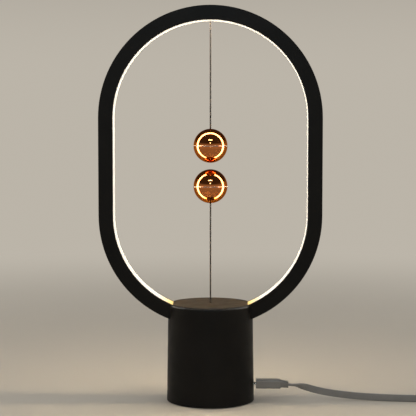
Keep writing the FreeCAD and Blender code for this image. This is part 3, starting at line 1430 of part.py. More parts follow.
def make_wires():
    radius = number("wire_radius")
    end_gap = number("screw_gap")
    x, y, z = (number(text) for text in (CONNECTOR_X, "connector_y", CONNECTOR_TOP))
    z += end_gap
    top = number(SWITCH_TOP) + number("terminal_tall") + end_gap

    to_switch = []
    ends = (SWITCH_TERMINALS_X[2], SWITCH_TERMINALS_X[0])
    sides = (-WIRE_SPACING / 2, WIRE_SPACING / 2)
    under_deck = number(DECK_BOTTOM)
    for middle, terminal, side in zip(SWITCH_WIRES, ends, sides):
        over_terminal = (number(terminal), 0)
        over_board = (x, -y + side)
        below = [(across, along, under_deck + drop) for across, along, drop in middle]
        route = [(*over_terminal, top), (*over_terminal, top + WIRE_RISE), *below,
                 (*over_board, z + WIRE_RISE), (*over_board, z)]
        to_switch.append(round_wire([Vector(*point) for point in route], radius))
    feature("switch_wires", Part.makeCompound(to_switch))

    to_strip = []
    base_top = number("base_height")
    for side in sides:
        start = (x, y + side)
        shift = side + WIRE_SPACING / 2
        beside = [(across, along + shift, base_top + drop) for across, along, drop in STRIP_WIRE]
        route = [(*start, z), (*start, z + WIRE_RISE), *beside]
        to_strip.append(round_wire([Vector(*point) for point in route], radius))
    feature("strip_wires", Part.makeCompound(to_strip))


# ---------------------------------------------------------------------------------------
# The lamp
# ---------------------------------------------------------------------------------------
make_base_shell()
make_top_cover()
make_eyelet()
make_base_plate()
make_rubber_pad()
make_ballast()
make_deck()
make_base_screws()
make_ring_shell("ring_front_shell", False)
make_ring_shell("ring_rear_shell", True)
make_strip()
make_leds()
make_anchor()
make_ball("upper", UPPER_BALL, True)
make_ball("lower", LOWER_BALL, False)
node(ball("bead_radius", 0, 0, UPPER_PIVOT), "upper_cord_bead")
node(ball("bead_radius", 0, 0, LOWER_PIVOT), "lower_cord_bead")
make_guide()
make_guide_cap()
make_plunger()
make_pull_cord()
make_spring()
make_micro_switch()
make_lever()
make_board()
make_socket()
make_plug()
make_lead()
make_far_plug()
make_wires()
doc.recompute()

for thing in doc.Objects:
    if "Invalid" in thing.State or "Error" in thing.State:
        raise RuntimeError("%s (%s) failed: %s" % (thing.Name, thing.Label, thing.State))
for thing in NODES:
    if thing.Shape.isNull() or not thing.Shape.isValid():
        raise RuntimeError("%s has no valid shape" % thing.Label)

os.makedirs("parts", exist_ok=True)
for thing in NODES:
    thing.Shape.exportStep(os.path.join("parts", thing.Label + ".step"))
print(len(NODES), "nodes")
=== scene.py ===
from math import asin, atan2, ceil, cos, pi, radians, sin, sqrt

import bpy
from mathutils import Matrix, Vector


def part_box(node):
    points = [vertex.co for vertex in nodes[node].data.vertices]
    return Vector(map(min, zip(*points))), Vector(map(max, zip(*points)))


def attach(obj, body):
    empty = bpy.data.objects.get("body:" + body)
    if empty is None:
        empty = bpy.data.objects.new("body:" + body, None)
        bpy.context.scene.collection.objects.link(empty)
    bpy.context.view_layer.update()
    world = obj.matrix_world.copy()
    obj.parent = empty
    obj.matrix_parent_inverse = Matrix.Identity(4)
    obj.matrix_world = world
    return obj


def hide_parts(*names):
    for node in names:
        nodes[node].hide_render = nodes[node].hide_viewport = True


# A magnetic balance lamp. Metres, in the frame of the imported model: +Z up, the origin in
# the middle of the base's underside, the lead on +X, seen from -Y.

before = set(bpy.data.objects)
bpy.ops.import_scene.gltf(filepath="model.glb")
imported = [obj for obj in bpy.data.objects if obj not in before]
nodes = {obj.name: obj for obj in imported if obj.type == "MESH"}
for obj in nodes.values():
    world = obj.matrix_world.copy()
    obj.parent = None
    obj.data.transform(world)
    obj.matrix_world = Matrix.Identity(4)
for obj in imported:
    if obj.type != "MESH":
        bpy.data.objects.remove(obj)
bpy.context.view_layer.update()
scene = bpy.context.scene
MM = 0.001

# ---------------------------------------------------------------------------------------
# Camera
# ---------------------------------------------------------------------------------------
# sensor and lens in millimetres, turns in degrees
SENSOR_WIDTH = 36
LENS = 109.1
VIEWPOINT = (0.0259, -1.2762, 0.2829)
LOOKS_DOWN = 3.866
LOOKS_LEFT = 1.275

camera = bpy.data.objects.new("camera", bpy.data.cameras.new("camera"))
camera.data.sensor_width = SENSOR_WIDTH
camera.data.lens = LENS
camera.location = VIEWPOINT
camera.rotation_euler = (radians(90 - LOOKS_DOWN), 0, radians(LOOKS_LEFT))
scene.collection.objects.link(camera)
scene.camera = camera


# ---------------------------------------------------------------------------------------
# Node helpers
# ---------------------------------------------------------------------------------------
def plug_in(tree, value, socket):
    """Link an output to the socket, or set a plain value on it."""
    if isinstance(value, bpy.types.NodeSocket):
        tree.links.new(value, socket)
    else:
        socket.default_value = value


def feed(tree, node, **inputs):
    """Fill a node's inputs by name, with _ for a space."""
    for name, value in inputs.items():
        plug_in(tree, value, node.inputs[name.replace("_", " ")])


def add_node(tree, kind, **values):
    """A node of this kind; names in capitals fill inputs, the others set properties."""
    node = tree.nodes.new("ShaderNode" + kind)
    for name, value in values.items():
        if name[0].isupper():
            feed(tree, node, **{name: value})
        else:
            setattr(node, name, value)
    return node


def place_of(tree, stretch=(1, 1, 1)):
    """The point on the piece, in metres, stretched along the axes."""
    place = add_node(tree, "TexCoord").outputs["Object"]
    return add_node(tree, "Mapping", Vector=place, Scale=stretch).outputs["Vector"]


def axis_value(tree, axis):
    """One of the point's own coordinates, in metres."""
    return add_node(tree, "SeparateXYZ", Vector=place_of(tree)).outputs[axis]


def noise(tree, size, detail=3.0, stretch=(1, 1, 1)):
    """Noise whose features are about size metres across."""
    place = place_of(tree, stretch)
    return add_node(tree, "TexNoise", Scale=1 / size, Detail=detail, Vector=place).outputs["Fac"]


def cells(tree, size):
    """Distance from the middle of cells that are about size metres across."""
    return add_node(tree, "TexVoronoi", Scale=1 / size, Vector=place_of(tree)).outputs["Distance"]


def remap(tree, value, low, high, to_low, to_high, smooth=False):
    """Stretch the range from low to high onto to_low to to_high, and hold what lies beyond it."""
    node = add_node(tree, "MapRange", interpolation_type="SMOOTHSTEP" if smooth else "LINEAR",
                    Value=value, From_Min=low, From_Max=high, To_Min=to_low, To_Max=to_high)
    return node.outputs["Result"]


def clouds(tree, size, low, high, detail=3.0, stretch=(1, 1, 1)):
    """Noise that runs from low to high."""
    return remap(tree, noise(tree, size, detail, stretch), 0.3, 0.7, low, high)


def mix_colour(tree, share, first, second):
    """first where share is 0 and second where it is 1; each is a colour or an output."""
    node = add_node(tree, "Mix", data_type="RGBA", Factor=share)
    for socket, value in zip(node.inputs[6:8], (first, second)):
        plug_in(tree, (*value, 1) if isinstance(value, tuple) else value, socket)
    return node.outputs[2]


def maths(tree, operation, first, second=0.0):
    """The result of a Math node on two numbers or outputs."""
    node = add_node(tree, "Math", operation=operation)
    for socket, value in zip(node.inputs, (first, second)):
        plug_in(tree, value, socket)
    return node.outputs[0]


def bump(tree, height, distance, strength=1.0, under=None):
    """The surface's normal with this height on it, over another bump if one is given."""
    node = add_node(tree, "Bump", Strength=strength, Distance=distance, Height=height)
    if under is not None:
        feed(tree, node, Normal=under)
    return node.outputs["Normal"]


def shade(colour, factor):
    """A darker or lighter colour."""
    return tuple(min(1.0, part * factor) for part in colour)


def new_material(name):
    """An empty material, its node tree and its shader."""
    material = bpy.data.materials.new(name)
    material.use_nodes = True
    tree = material.node_tree
    return material, tree, tree.nodes["Principled BSDF"]


def blend_into(tree, output, share, first, second):
    """Show the first shader where share is 0 and the second where it is 1."""
    blend = add_node(tree, "MixShader", Fac=share)
    tree.links.new(first.outputs[0], blend.inputs[1])
    tree.links.new(second.outputs[0], blend.inputs[2])
    feed(tree, output, Surface=blend.outputs[0])


# ---------------------------------------------------------------------------------------
# Materials
# ---------------------------------------------------------------------------------------
BLACK = (0.0062, 0.0056, 0.0050)
# half width of the groove between the ring's two shells
PARTING_HALF = 0.08 * MM
# height at which the strip meets the base's cover
STRIP_END = 0.1
# what the strip sheds, how bright the camera sees it, and the share of its power in mirrors
STRIP_POWER = 28.0
STRIP_SEEN = 0.6
STRIP_MIRRORED = 0.6


def surface(name, colour, roughness, metallic=0.0, tone=0.12, spread=0.06, cloud=0.02,
            grain=0.0004, depth=0.00002, stretch=(1, 1, 1), specular=0.5):
    """Colour with soft clouds, roughness with smudges and a fine grain in the surface."""
    material, tree, shader = new_material(name)
    patches = clouds(tree, cloud, 0, 1, stretch=stretch)
    smudges = clouds(tree, cloud * 0.4, roughness - spread, roughness + spread, 5, stretch)
    feed(tree, shader, Metallic=metallic, Specular_IOR_Level=specular, Roughness=smudges,
         Base_Color=mix_colour(tree, patches, shade(colour, 1 - tone), shade(colour, 1 + tone)),
         Normal=bump(tree, noise(tree, grain, 2, stretch), depth))
    return material


def make_body_black(name, parting):
    """Fine-grained black plastic; parting draws the seam between the ring's two shells, its groove in
    painted shade.
    """
    material, tree, shader = new_material(name)
    tint = mix_colour(tree, clouds(tree, 0.03, 0, 1), shade(BLACK, 0.85), shade(BLACK, 1.2))
    normal = bump(tree, cells(tree, 0.00045), 0.00002, 0.6)
    normal = bump(tree, noise(tree, 0.0002, 2), 0.000012, 0.5, normal)
    if parting:
        off_middle = maths(tree, "ABSOLUTE", axis_value(tree, "Y"))
        groove = remap(tree, off_middle, PARTING_HALF, 0.2 * MM, 1, 0)
        # painted shade: the groove between the two shells is darkened where shade falls into it
        tint = mix_colour(tree, groove, tint, shade(BLACK, 0.2))
        raised = remap(tree, off_middle, PARTING_HALF, 0.25 * MM, 0, 1)
        normal = bump(tree, raised, 0.15 * MM, 1.0, normal)
    feed(tree, shader, Base_Color=tint, Roughness=clouds(tree, 0.012, 0.42, 0.54, 6), Normal=normal,
         Specular_IOR_Level=0.12)
    return material


def make_diffuser():
    """Milky plastic lit from behind, yellower and dimmer towards its two ends."""
    material, tree, shader = new_material("lit_diffuser")
    path = add_node(tree, "LightPath")
    height = axis_value(tree, "Z")
    near_end = remap(tree, height, STRIP_END + 1 * MM, STRIP_END + 19 * MM, 1, 0)
    last_stretch = remap(tree, height, STRIP_END, STRIP_END + 7 * MM, 1, 0)
    glow = mix_colour(tree, near_end, (1.0, 0.82, 0.56), (1.0, 0.66, 0.26))
    power = remap(tree, height, STRIP_END - 1 * MM, STRIP_END + 23 * MM, 0.55 * STRIP_POWER, STRIP_POWER)
    # mirrors show it whiter and less bright, away from its ends
    away = maths(tree, "SUBTRACT", 1.0, near_end)
    mirrored = maths(tree, "MULTIPLY", path.outputs["Is Glossy Ray"], away)
    glow = mix_colour(tree, mirrored, glow, (1.0, 0.97, 0.92))
    power = maths(tree, "MULTIPLY", power, remap(tree, mirrored, 0, 1, 1, STRIP_MIRRORED))
    # the camera sees it just bright enough to be white, so that its edges stay smooth
    seen = path.outputs["Is Camera Ray"]
    shown = mix_colour(tree, last_stretch, (1.0, 0.97, 0.90), (1.0, 0.76, 0.30))
    glow = mix_colour(tree, seen, glow, shown)
    power = remap(tree, seen, 0, 1, power, STRIP_SEEN)
    cloudy = remap(tree, noise(tree, 0.012, 1), 0.35, 0.65, 0.94, 1.06)
    tint = mix_colour(tree, cloudy, (0.28, 0.27, 0.25), (0.33, 0.32, 0.30))
    feed(tree, shader, Roughness=0.6, Specular_IOR_Level=0.1, Emission_Color=glow,
         Emission_Strength=maths(tree, "MULTIPLY", power, cloudy),
         # painted warm glow: the base colour turns yellow-brown over the last stretch, where the strip's
         # light is yellow
         Base_Color=mix_colour(tree, last_stretch, tint, (0.30, 0.22, 0.09)),
         Normal=bump(tree, noise(tree, 0.0006, 2), 0.00001, 0.4))
    return material


def make_copper():
    """Polished copper plating with faint polishing marks and a few finger smudges."""
    material, tree, shader = new_material("copper_mirror")
    tint = mix_colour(tree, clouds(tree, 0.01, 0, 1), (0.58, 0.185, 0.054), (0.65, 0.220, 0.070))
    smudges = remap(tree, noise(tree, 0.006, 6), 0.45, 0.75, 0.045, 0.11)
    marks = noise(tree, 0.0004, 2, (0.3, 0.3, 3))
    feed(tree, shader, Metallic=1, Specular_Tint=(0.62, 0.36, 0.22, 1), Base_Color=tint,
         Roughness=smudges, Normal=bump(tree, marks, 0.000002, 0.3))
    return material


def make_yarn(name, colour):
    """Glossy twisted thread: fine fibres run along the strand."""
    material, tree, shader = new_material(name)
    fibres = noise(tree, 0.0002, 4, (1, 1, 0.35))
    share = remap(tree, fibres, 0.35, 0.65, 0, 1)
    feed(tree, shader, Sheen_Weight=0.08, Sheen_Roughness=0.4,
         Base_Color=mix_colour(tree, share, shade(colour, 0.55), shade(colour, 1.45)),
         Roughness=remap(tree, fibres, 0.3, 0.7, 0.62, 0.82),
         Normal=bump(tree, fibres, 0.00008, 0.9))
    return material


def make_lead_plastic():
    """Soft grey PVC with a faint drawing texture and a few scuffs."""
    material, tree, shader = new_material("lead_plastic")
    tint = mix_colour(tree, clouds(tree, 0.02, 0, 1), (0.165, 0.162, 0.154), (0.200, 0.196, 0.187))
    scuffs = remap(tree, noise(tree, 0.0015, 6), 0.62, 0.75, 0, 0.5)
    feed(tree, shader, Base_Color=mix_colour(tree, scuffs, tint, (0.125, 0.121, 0.113)),
         Roughness=clouds(tree, 0.004, 0.4, 0.55, 5),
         Normal=bump(tree, noise(tree, 0.0003), 0.00002, 0.5))
    return material


def make_board_green():
    """Green circuit board: solder mask, lighter where it lies over copper tracks."""
    material, tree, shader = new_material("circuit_board")
    tracks = add_node(tree, "TexBrick", offset=0.37, Scale=190.0, Mortar_Size=0.035,
                      Vector=place_of(tree)).outputs["Fac"]
    mask = mix_colour(tree, noise(tree, 0.004), (0.008, 0.075, 0.028), (0.014, 0.11, 0.042))
    feed(tree, shader, Base_Color=mix_colour(tree, tracks, mask, (0.035, 0.19, 0.07)),
         Roughness=clouds(tree, 0.003, 0.25, 0.38), Normal=bump(tree, tracks, 0.00004, 0.7))
    return material


def make_cloth_tie():
    """Hook-and-loop strap: fuzzy dark loops."""
    material, tree, shader = new_material("tie_strap")
    loops = cells(tree, 0.0005)
    share = remap(tree, loops, 0.1, 0.7, 0, 1)
    feed(tree, shader, Sheen_Weight=0.3,
         Base_Color=mix_colour(tree, share, (0.055, 0.055, 0.06), (0.012, 0.012, 0.014)),
         Roughness=clouds(tree, 0.002, 0.82, 0.95), Normal=bump(tree, loops, 0.0002))
    return material


SHELL = make_body_black("shell_black", parting=False)
RING = make_body_black("ring_black", parting=True)
# black plastic; its warm brown tint is painted golden light from the strip
COVER = surface("cover_black_painted_glow", (0.022, 0.0132, 0.0042), 0.42, tone=0.15, spread=0.04, cloud=0.025,
                grain=0.0003, depth=0.000008, specular=0.25)
DIFFUSER = make_diffuser()
COPPER = make_copper()
# painted highlight: a pale band for the light that the balls' seams catch
SEAM_HIGHLIGHT = surface("seam_highlight_band", (0.90, 0.78, 0.68), 0.22, metallic=0.4, tone=0.05, spread=0.04)
DARK_YARN = make_yarn("yarn_dark", (0.013, 0.0085, 0.0055))
LIGHT_YARN = make_yarn("yarn_light", (0.042, 0.028, 0.016))
LEAD = make_lead_plastic()
OVERMOULD = surface("plug_plastic", (0.190, 0.184, 0.170), 0.36, tone=0.05, grain=0.0005)
RELIEF = surface("relief_plastic", (0.175, 0.170, 0.158), 0.46, tone=0.06, grain=0.0005)
STEEL = surface("plated_steel", (0.62, 0.61, 0.59), 0.27, metallic=1, tone=0.08, stretch=(1, 1, 0.2))
ZINC = surface("zinc_screw", (0.60, 0.60, 0.58), 0.33, metallic=1, tone=0.14, cloud=0.002)
CAST = surface("cast_ballast", (0.21, 0.205, 0.20), 0.6, metallic=1, tone=0.25, cloud=0.012,
               grain=0.0012, depth=0.0001)
PLATE = surface("plate_plastic", (0.020, 0.020, 0.021), 0.55, tone=0.15, grain=0.0006, depth=0.00004)
RUBBER = surface("foot_rubber", (0.030, 0.029, 0.028), 0.86, tone=0.18, grain=0.0008, depth=0.00008)
DECK = surface("deck_plastic", (0.035, 0.034, 0.033), 0.5)
GUIDE = surface("guide_plastic", (0.52, 0.51, 0.48), 0.42, tone=0.06)
PLUNGER = surface("plunger_plastic", (0.72, 0.70, 0.65), 0.3, tone=0.05)
WHITE = surface("reflector_white", (0.80, 0.79, 0.76), 0.5, tone=0.04)
TAPE = surface("led_tape", (0.82, 0.81, 0.77), 0.45, tone=0.05, grain=0.001)
PHOSPHOR = surface("led_phosphor", (0.85, 0.62, 0.13), 0.4, cloud=0.001)
MAGNET = surface("nickel_magnet", (0.58, 0.56, 0.53), 0.16, metallic=1, tone=0.05)
SPRING = surface("spring_wire", (0.50, 0.49, 0.48), 0.24, metallic=1, tone=0.1, cloud=0.002)
SWITCH = surface("switch_black", (0.022, 0.022, 0.024), 0.38)
BUTTON = surface("switch_button", (0.50, 0.045, 0.03), 0.32, tone=0.08, cloud=0.002)
BRASS = surface("terminal_brass", (0.76, 0.58, 0.29), 0.25, metallic=1, tone=0.08, cloud=0.003)
BLADE = surface("lever_steel", (0.64, 0.63, 0.61), 0.2, metallic=1, tone=0.08, stretch=(0.15, 1, 1))
BOARD = make_board_green()
CHIPS = surface("chip_black", (0.018, 0.018, 0.019), 0.45, tone=0.18, cloud=0.003)
WIRE_RED = surface("wire_red", (0.42, 0.022, 0.018), 0.38, tone=0.1)
WIRE_BLACK = surface("wire_black", (0.018, 0.018, 0.018), 0.4, tone=0.1)
TIE = make_cloth_tie()
INSULATOR = surface("insulator", (0.83, 0.82, 0.79), 0.4, tone=0.03)
GOLD = surface("gold_contact", (0.90, 0.66, 0.28), 0.2, metallic=1, tone=0.05, cloud=0.002)

FINISHES = {
    SHELL: ("base_shell",),
    RING: ("ring_front_shell", "ring_rear_shell"),
    COVER: ("top_cover", "string_eyelet"),
    DIFFUSER: ("light_diffuser",),
    PLATE: ("base_plate",),
    RUBBER: ("rubber_pad",),
    CAST: ("ballast_weight",),
    DECK: ("frame_deck",),
    ZINC: ("base_plate_screws", "deck_screws", "cover_screws", "ring_screws", "guide_screws",
           "board_screws", "micro_switch_screws"),
    WHITE: ("reflector_channel",),
    TAPE: ("led_strip",),
    PHOSPHOR: ("strip_leds",),
    STEEL: ("anchor_plate", "usb_socket", "plug_tip"),
    MAGNET: ("upper_ball_magnet", "lower_ball_magnet"),
    GUIDE: ("switch_guide", "guide_cap"),
    PLUNGER: ("pull_plunger",),
    SPRING: ("return_spring",),
    SWITCH: ("micro_switch",),
    BRASS: ("switch_terminals",),
    BLADE: ("switch_lever",),
    BUTTON: ("switch_button",),
    BOARD: ("control_board",),
    CHIPS: ("board_components",),
    INSULATOR: ("socket_tongue",),
    OVERMOULD: ("plug_overmould", "far_plug_overmould"),
    WIRE_RED: ("strip_wires",),
    WIRE_BLACK: ("switch_wires",),
}
for material, names in FINISHES.items():
    for name in names:
        slots = nodes[name].data.materials
        slots.clear()
        slots.append(material)


# ---------------------------------------------------------------------------------------
# Mesh helpers
# ---------------------------------------------------------------------------------------
# a radius below this is a point on the axis
TINY = 1e-7
# steps round a ball or the floor
ROUND_STEPS = 96


def add_piece(name, points, faces, materials, body, which=None, sharp=40):
    """A smooth-shaded mesh that rides on a body; which gives each face's material."""
    mesh = bpy.data.meshes.new(name)
    mesh.from_pydata([tuple(point) for point in points], [], faces)
    for material in materials:
        mesh.materials.append(material)
    if which:
        mesh.polygons.foreach_set("material_index", which)
    mesh.update()
    mesh.shade_smooth()
    mesh.set_sharp_from_angle(angle=radians(sharp))
    piece = bpy.data.objects.new(name, mesh)
    scene.collection.objects.link(piece)
    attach(piece, body)
    return piece


def stand_for(piece, *names):
    """The piece is shown in place of these CAD nodes, which are hidden."""
    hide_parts(*names)


def loft_faces(rings, count, first=0, closed=False):
    """Quads between rings of count points; closed joins the two ends, which are capped otherwise."""
    faces = []
    for i in range(rings if closed else rings - 1):
        low = first + i * count
        high = first + (i + 1) % rings * count
        for j in range(count):
            k = (j + 1) % count
            faces.append((low + j, low + k, high + k, high + j))
    if not closed:
        last = first + (rings - 1) * count
        faces.append(tuple(range(first + count - 1, first - 1, -1)))
        faces.append(tuple(range(last, last + count)))
    return faces


def spin(profile, middle, steps, closed=True):
    """Points and faces of a profile of (radius, height) turned round the Z axis."""
    points, rows = [], []
    for radius, height in profile:
        if radius < TINY:
            rows.append([len(points)])
            points.append(Vector((0, 0, middle + height)))
            continue
        rows.append(list(range(len(points), len(points) + steps)))
        for j in range(steps):
            turn = 2 * pi * j / steps
            points.append(Vector((radius * cos(turn), radius * sin(turn), middle + height)))
    faces = []
    pairs = list(zip(rows, rows[1:])) + ([(rows[-1], rows[0])] if closed else [])
    for one, two in pairs:
        for j in range(steps):
            k = (j + 1) % steps
            if len(one) == len(two) == 1:
                break
            if len(one) == 1:
                faces.append((one[0], two[k], two[j]))
            elif len(two) == 1:
                faces.append((one[j], one[k], two[0]))
            else:
                faces.append((one[j], one[k], two[k], two[j]))
    return points, faces


def arc(radius, begin, end, steps):
    """Points of a circle from one angle to another."""
    turns = [begin + (end - begin) * step / steps for step in range(steps + 1)]
    return [(radius * cos(turn), radius * sin(turn)) for turn in turns]


def rounded_corners(wide, high, corner, steps=3):
    """The four corners of a rounded rectangle, anticlockwise from the bottom right one."""
    corners = []
    for quarter, (side, rise) in enumerate(((1, -1), (1, 1), (-1, 1), (-1, -1)), start=-1):
        middle_x = side * (wide / 2 - corner)
        middle_y = rise * (high / 2 - corner)
        bend = arc(corner, quarter * pi / 2, (quarter + 1) * pi / 2, steps)
        corners.append([(middle_x + x, middle_y + y) for x, y in bend])
    return corners


def flat_section(wide, high, corner, steps=3):
    """Outline of a rounded rectangle, anticlockwise, as (across, up) pairs."""
    return sum(rounded_corners(wide, high, corner, steps), [])


def smooth_line(name, route, fineness):
    """Points along the NURBS line whose control points are the route's."""
    curve = bpy.data.curves.new(name, "CURVE")
    curve.dimensions = "3D"
    curve.resolution_u = fineness
    spline = curve.splines.new("NURBS")
    spline.points.add(len(route) - 1)
    for spot, point in zip(spline.points, route):
        spot.co = (*point, 1)
    spline.order_u = 3
    spline.use_endpoint_u = True
    mesh = bpy.data.meshes.new_from_object(bpy.data.objects.new(name, curve))
    return [vertex.co.copy() for vertex in mesh.vertices]


def directions(line):
    """The way that the line runs at each of its points."""
    ends = [line[0]] + line + [line[-1]]
    return [(ends[i + 2] - ends[i]).normalized() for i in range(len(line))]


# ---------------------------------------------------------------------------------------
# Lead: flat, from the plug over the table into a coil, with a USB plug at its far end
# ---------------------------------------------------------------------------------------
LEAD_WIDTH = 7.0 * MM
LEAD_THICK = 2.0 * MM
LEAD_CORNER = 0.6 * MM
LEAD_FINENESS = 6
LEAD_EXIT = (0.07905, 0.0, 0.01603)
LEAD_ROUTE = [
    LEAD_EXIT,
    (0.092, 0.0002, 0.0151),
    (0.112, 0.0004, 0.0089),
    (0.141, -0.0006, 0.0050),
    (0.172, -0.003, 0.00356),
    (0.200, -0.007, 0.00356),
    (0.232, -0.0089, 0.0037),
    (0.262, -0.008, 0.0042),
]
# the lead turns from its flat onto its edge between these places along X
TWIST_START = 0.0805
TWIST_END = 0.102
# the coil's middle, and the radius of the lead's line in its first and last turn
COIL = Vector((0.266, 0.0382, 0.0042))
COIL_OUTER = 0.0462
COIL_INNER = 0.0378
COIL_TURNS = 3
TURN_STEPS = 24
# from the coil's middle, in millimetres
TAIL_STEPS = [(-7.0, -37.8, 0), (7.6, -37.8, 0), (19.4, -28.0, 0), (22.0, -12.9, 0), (15.0, -0.8, 0)]
TAIL_ROUTE = [COIL + Vector(step) * MM for step in TAIL_STEPS]


def coil_route():
    """The turns of the coil, in a flat spiral from the outside in."""
    count = COIL_TURNS * TURN_STEPS
    # the line cuts inside its control points, by this share of the radius
    cut = (1 + cos(2 * pi / TURN_STEPS)) / 2
    route = []
    for i in range(1, count):
        turn = 2 * pi * i / TURN_STEPS - pi / 2
        radius = (COIL_OUTER + (COIL_INNER - COIL_OUTER) * i / count) / cut
        route.append(COIL + radius * Vector((cos(turn), sin(turn), 0)))
    return route


def make_lead(line):
    """The flat lead: on its flat as it leaves the plug, and on edge where it lies on the table."""
    section = flat_section(LEAD_WIDTH, LEAD_THICK, LEAD_CORNER)
    points = []
    for point, ahead in zip(line, directions(line)):
        level = ahead.cross(Vector((0, 0, 1))).normalized()
        upright = level.cross(ahead)
        share = min(1, max(0, (point.x - TWIST_START) / (TWIST_END - TWIST_START)))
        turn = pi / 2 * share * share * (3 - 2 * share)
        wide = level * cos(turn) + upright * sin(turn)
        thin = ahead.cross(wide)
        points += [point + wide * across + thin * up for across, up in section]
    piece = add_piece("flat_lead", points, loft_faces(len(line), len(section)), [LEAD], "plug")
    stand_for(piece, "lead", "lead_coil", "lead_tail")
    return piece


def make_relief():
    """Blocky strain relief: a collar at the plug, then fine ribs up to the lead."""
    # millimetres, and where two are given, at its start and at its end
    start, end = 71.4, 79.6
    middle, last_middle = 16.73, LEAD_EXIT[2] / MM
    wide, last_wide = 9.3, 8.9
    high, last_high = 6.7, 6.2
    corner, collar, rounding = 0.9, 1.5, 0.3
    ribs, flank, floor, depth = 6, 0.12, 0.3, 0.35
    pitch = (end - rounding - start - collar) / ribs
    steps = [(start, 0.0), (start + collar, 0.0)]
    for i in range(ribs):
        groove = start + collar + pitch * i
        steps += [(groove + flank, depth), (groove + flank + floor, depth)]
        steps += [(groove + 2 * flank + floor, 0.0), (groove + pitch, 0.0)]
    steps.append((end, rounding))
    points = []
    for x, sunk in steps:
        share = (x - start) / (end - start)
        section = flat_section(wide + (last_wide - wide) * share - 2 * sunk,
                               high + (last_high - high) * share - 2 * sunk, corner)
        height = middle + (last_middle - middle) * share
        points += [MM * Vector((x, across, height + up)) for across, up in section]
    faces = loft_faces(len(steps), len(section))
    stand_for(add_piece("strain_relief", points, faces, [RELIEF], "plug", sharp=35), "plug_strain_relief")


lead_line = smooth_line("lead_route", LEAD_ROUTE + coil_route() + TAIL_ROUTE, LEAD_FINENESS)
lead = make_lead(lead_line)
make_relief()

# ---------------------------------------------------------------------------------------
# Far plug, and the tie round the coil
# ---------------------------------------------------------------------------------------
FAR_START = TAIL_ROUTE[-1]
FAR_AHEAD = (TAIL_ROUTE[-1] - TAIL_ROUTE[-2]).normalized()
FAR_SIDE = Vector((-FAR_AHEAD.y, FAR_AHEAD.x, 0))


def far_point(along, across, up):
    """A place on the far plug, from the end of the lead."""
    return FAR_START + FAR_AHEAD * along + FAR_SIDE * across + Vector((0, 0, up))


def make_far_relief():
    """Ribbed strain relief of the far plug."""
    # along, width and height in millimetres
    steps = [(-0.6, 2.9, 6.9), (0, 4.0, 6.6), (0.9, 4.9, 6.7),
             (1.1, 5.6, 6.9), (2.0, 5.9, 6.9), (2.2, 5.2, 6.6), (2.8, 5.9, 6.6),
             (3.0, 7.0, 6.95), (3.9, 7.4, 6.95), (4.1, 6.6, 6.7), (4.7, 7.8, 6.7),
             (4.9, 8.8, 7.0), (6.0, 9.6, 7.0)]
    points = []
    for along, wide, high in steps:
        section = flat_section(wide * MM, high * MM, 0.9 * MM)
        points += [far_point(along * MM, across, up) for across, up in section]
    faces = loft_faces(len(steps), len(section))
    piece = add_piece("far_relief", points, faces, [RELIEF], "plug", sharp=50)
    stand_for(piece, "far_plug_relief")
    return piece


def make_far_shell():
    """Sheet metal tube of a USB-A plug, with its two windows in each wide face."""
    start, length, wide, high, sheet, corner = (n * MM for n in (24.0, 12.0, 12.0, 4.5, 0.4, 0.5))
    window, window_start, window_edge = (n * MM for n in (2.5, 4.6, 3.5))
    stations = [0, window_start, window_start + window, length]
    marks = [-window_edge, window - window_edge, window_edge - window, window_edge]
    rings = []
    for inset in (0, sheet):
        bends = rounded_corners(wide - 2 * inset, high - 2 * inset, corner - inset / 2)
        top = [(x, high / 2 - inset) for x in reversed(marks)]
        bottom = [(x, inset - high / 2) for x in marks]
        rings.append(bends[0] + bends[1] + top + bends[2] + bends[3] + bottom)
    count = len(rings[0])
    points = [far_point(start + x, y, z) for ring in rings for x in stations for y, z in ring]

    def index(layer, station, j):
        return (layer * len(stations) + station) * count + j % count

    # where the marks start on each wide face; the windows lie between two marks
    first_top = 2 * len(bends[0])
    first_bottom = 4 * len(bends[0]) + len(marks)
    open_cells = {(1, first + j) for first in (first_top, first_bottom) for j in (0, 2)}
    faces = []
    for station in range(len(stations) - 1):
        for j in range(count):
            corners = [(station, j), (station, j + 1), (station + 1, j + 1), (station + 1, j)]
            if (station, j) in open_cells:
                for one, two in zip(corners, corners[1:] + corners[:1]):
                    faces.append((index(0, *one), index(0, *two), index(1, *two), index(1, *one)))
            else:
                faces.append([index(0, *place) for place in corners])
                faces.append([index(1, *place) for place in reversed(corners)])
    for j in range(count):
        for station, one, two in ((0, j + 1, j), (len(stations) - 1, j, j + 1)):
            faces.append((index(0, station, one), index(0, station, two),
                          index(1, station, two), index(1, station, one)))
    piece = add_piece("far_shell", points, faces, [STEEL], "plug", sharp=30)
    stand_for(piece, "far_plug_shell")
    return piece


def make_far_insulator():
    """White block inside the far plug's shell, with four gold contacts on it."""
    # ranges along, across and up in millimetres, and a number for the material
    bars = [((24.0, 35.2), (-5.3, 5.3), (-1.8, 0.1), 0)]
    bars += [((28.0, 34.6), (y - 0.55, y + 0.55), (0.1, 0.22), 1) for y in (-3.5, -1.2, 1.2, 3.5)]
    points, faces, which = [], [], []
    for along, (left, right), (low, high), material in bars:
        found = loft_faces(2, 4, len(points))
        for x in along:
            section = ((left, low), (right, low), (right, high), (left, high))
            points += [far_point(x * MM, y * MM, z * MM) for y, z in section]
        faces += found
        which += [material] * len(found)
    return add_piece("far_insulator", points, faces, [INSULATOR, GOLD], "plug", which)


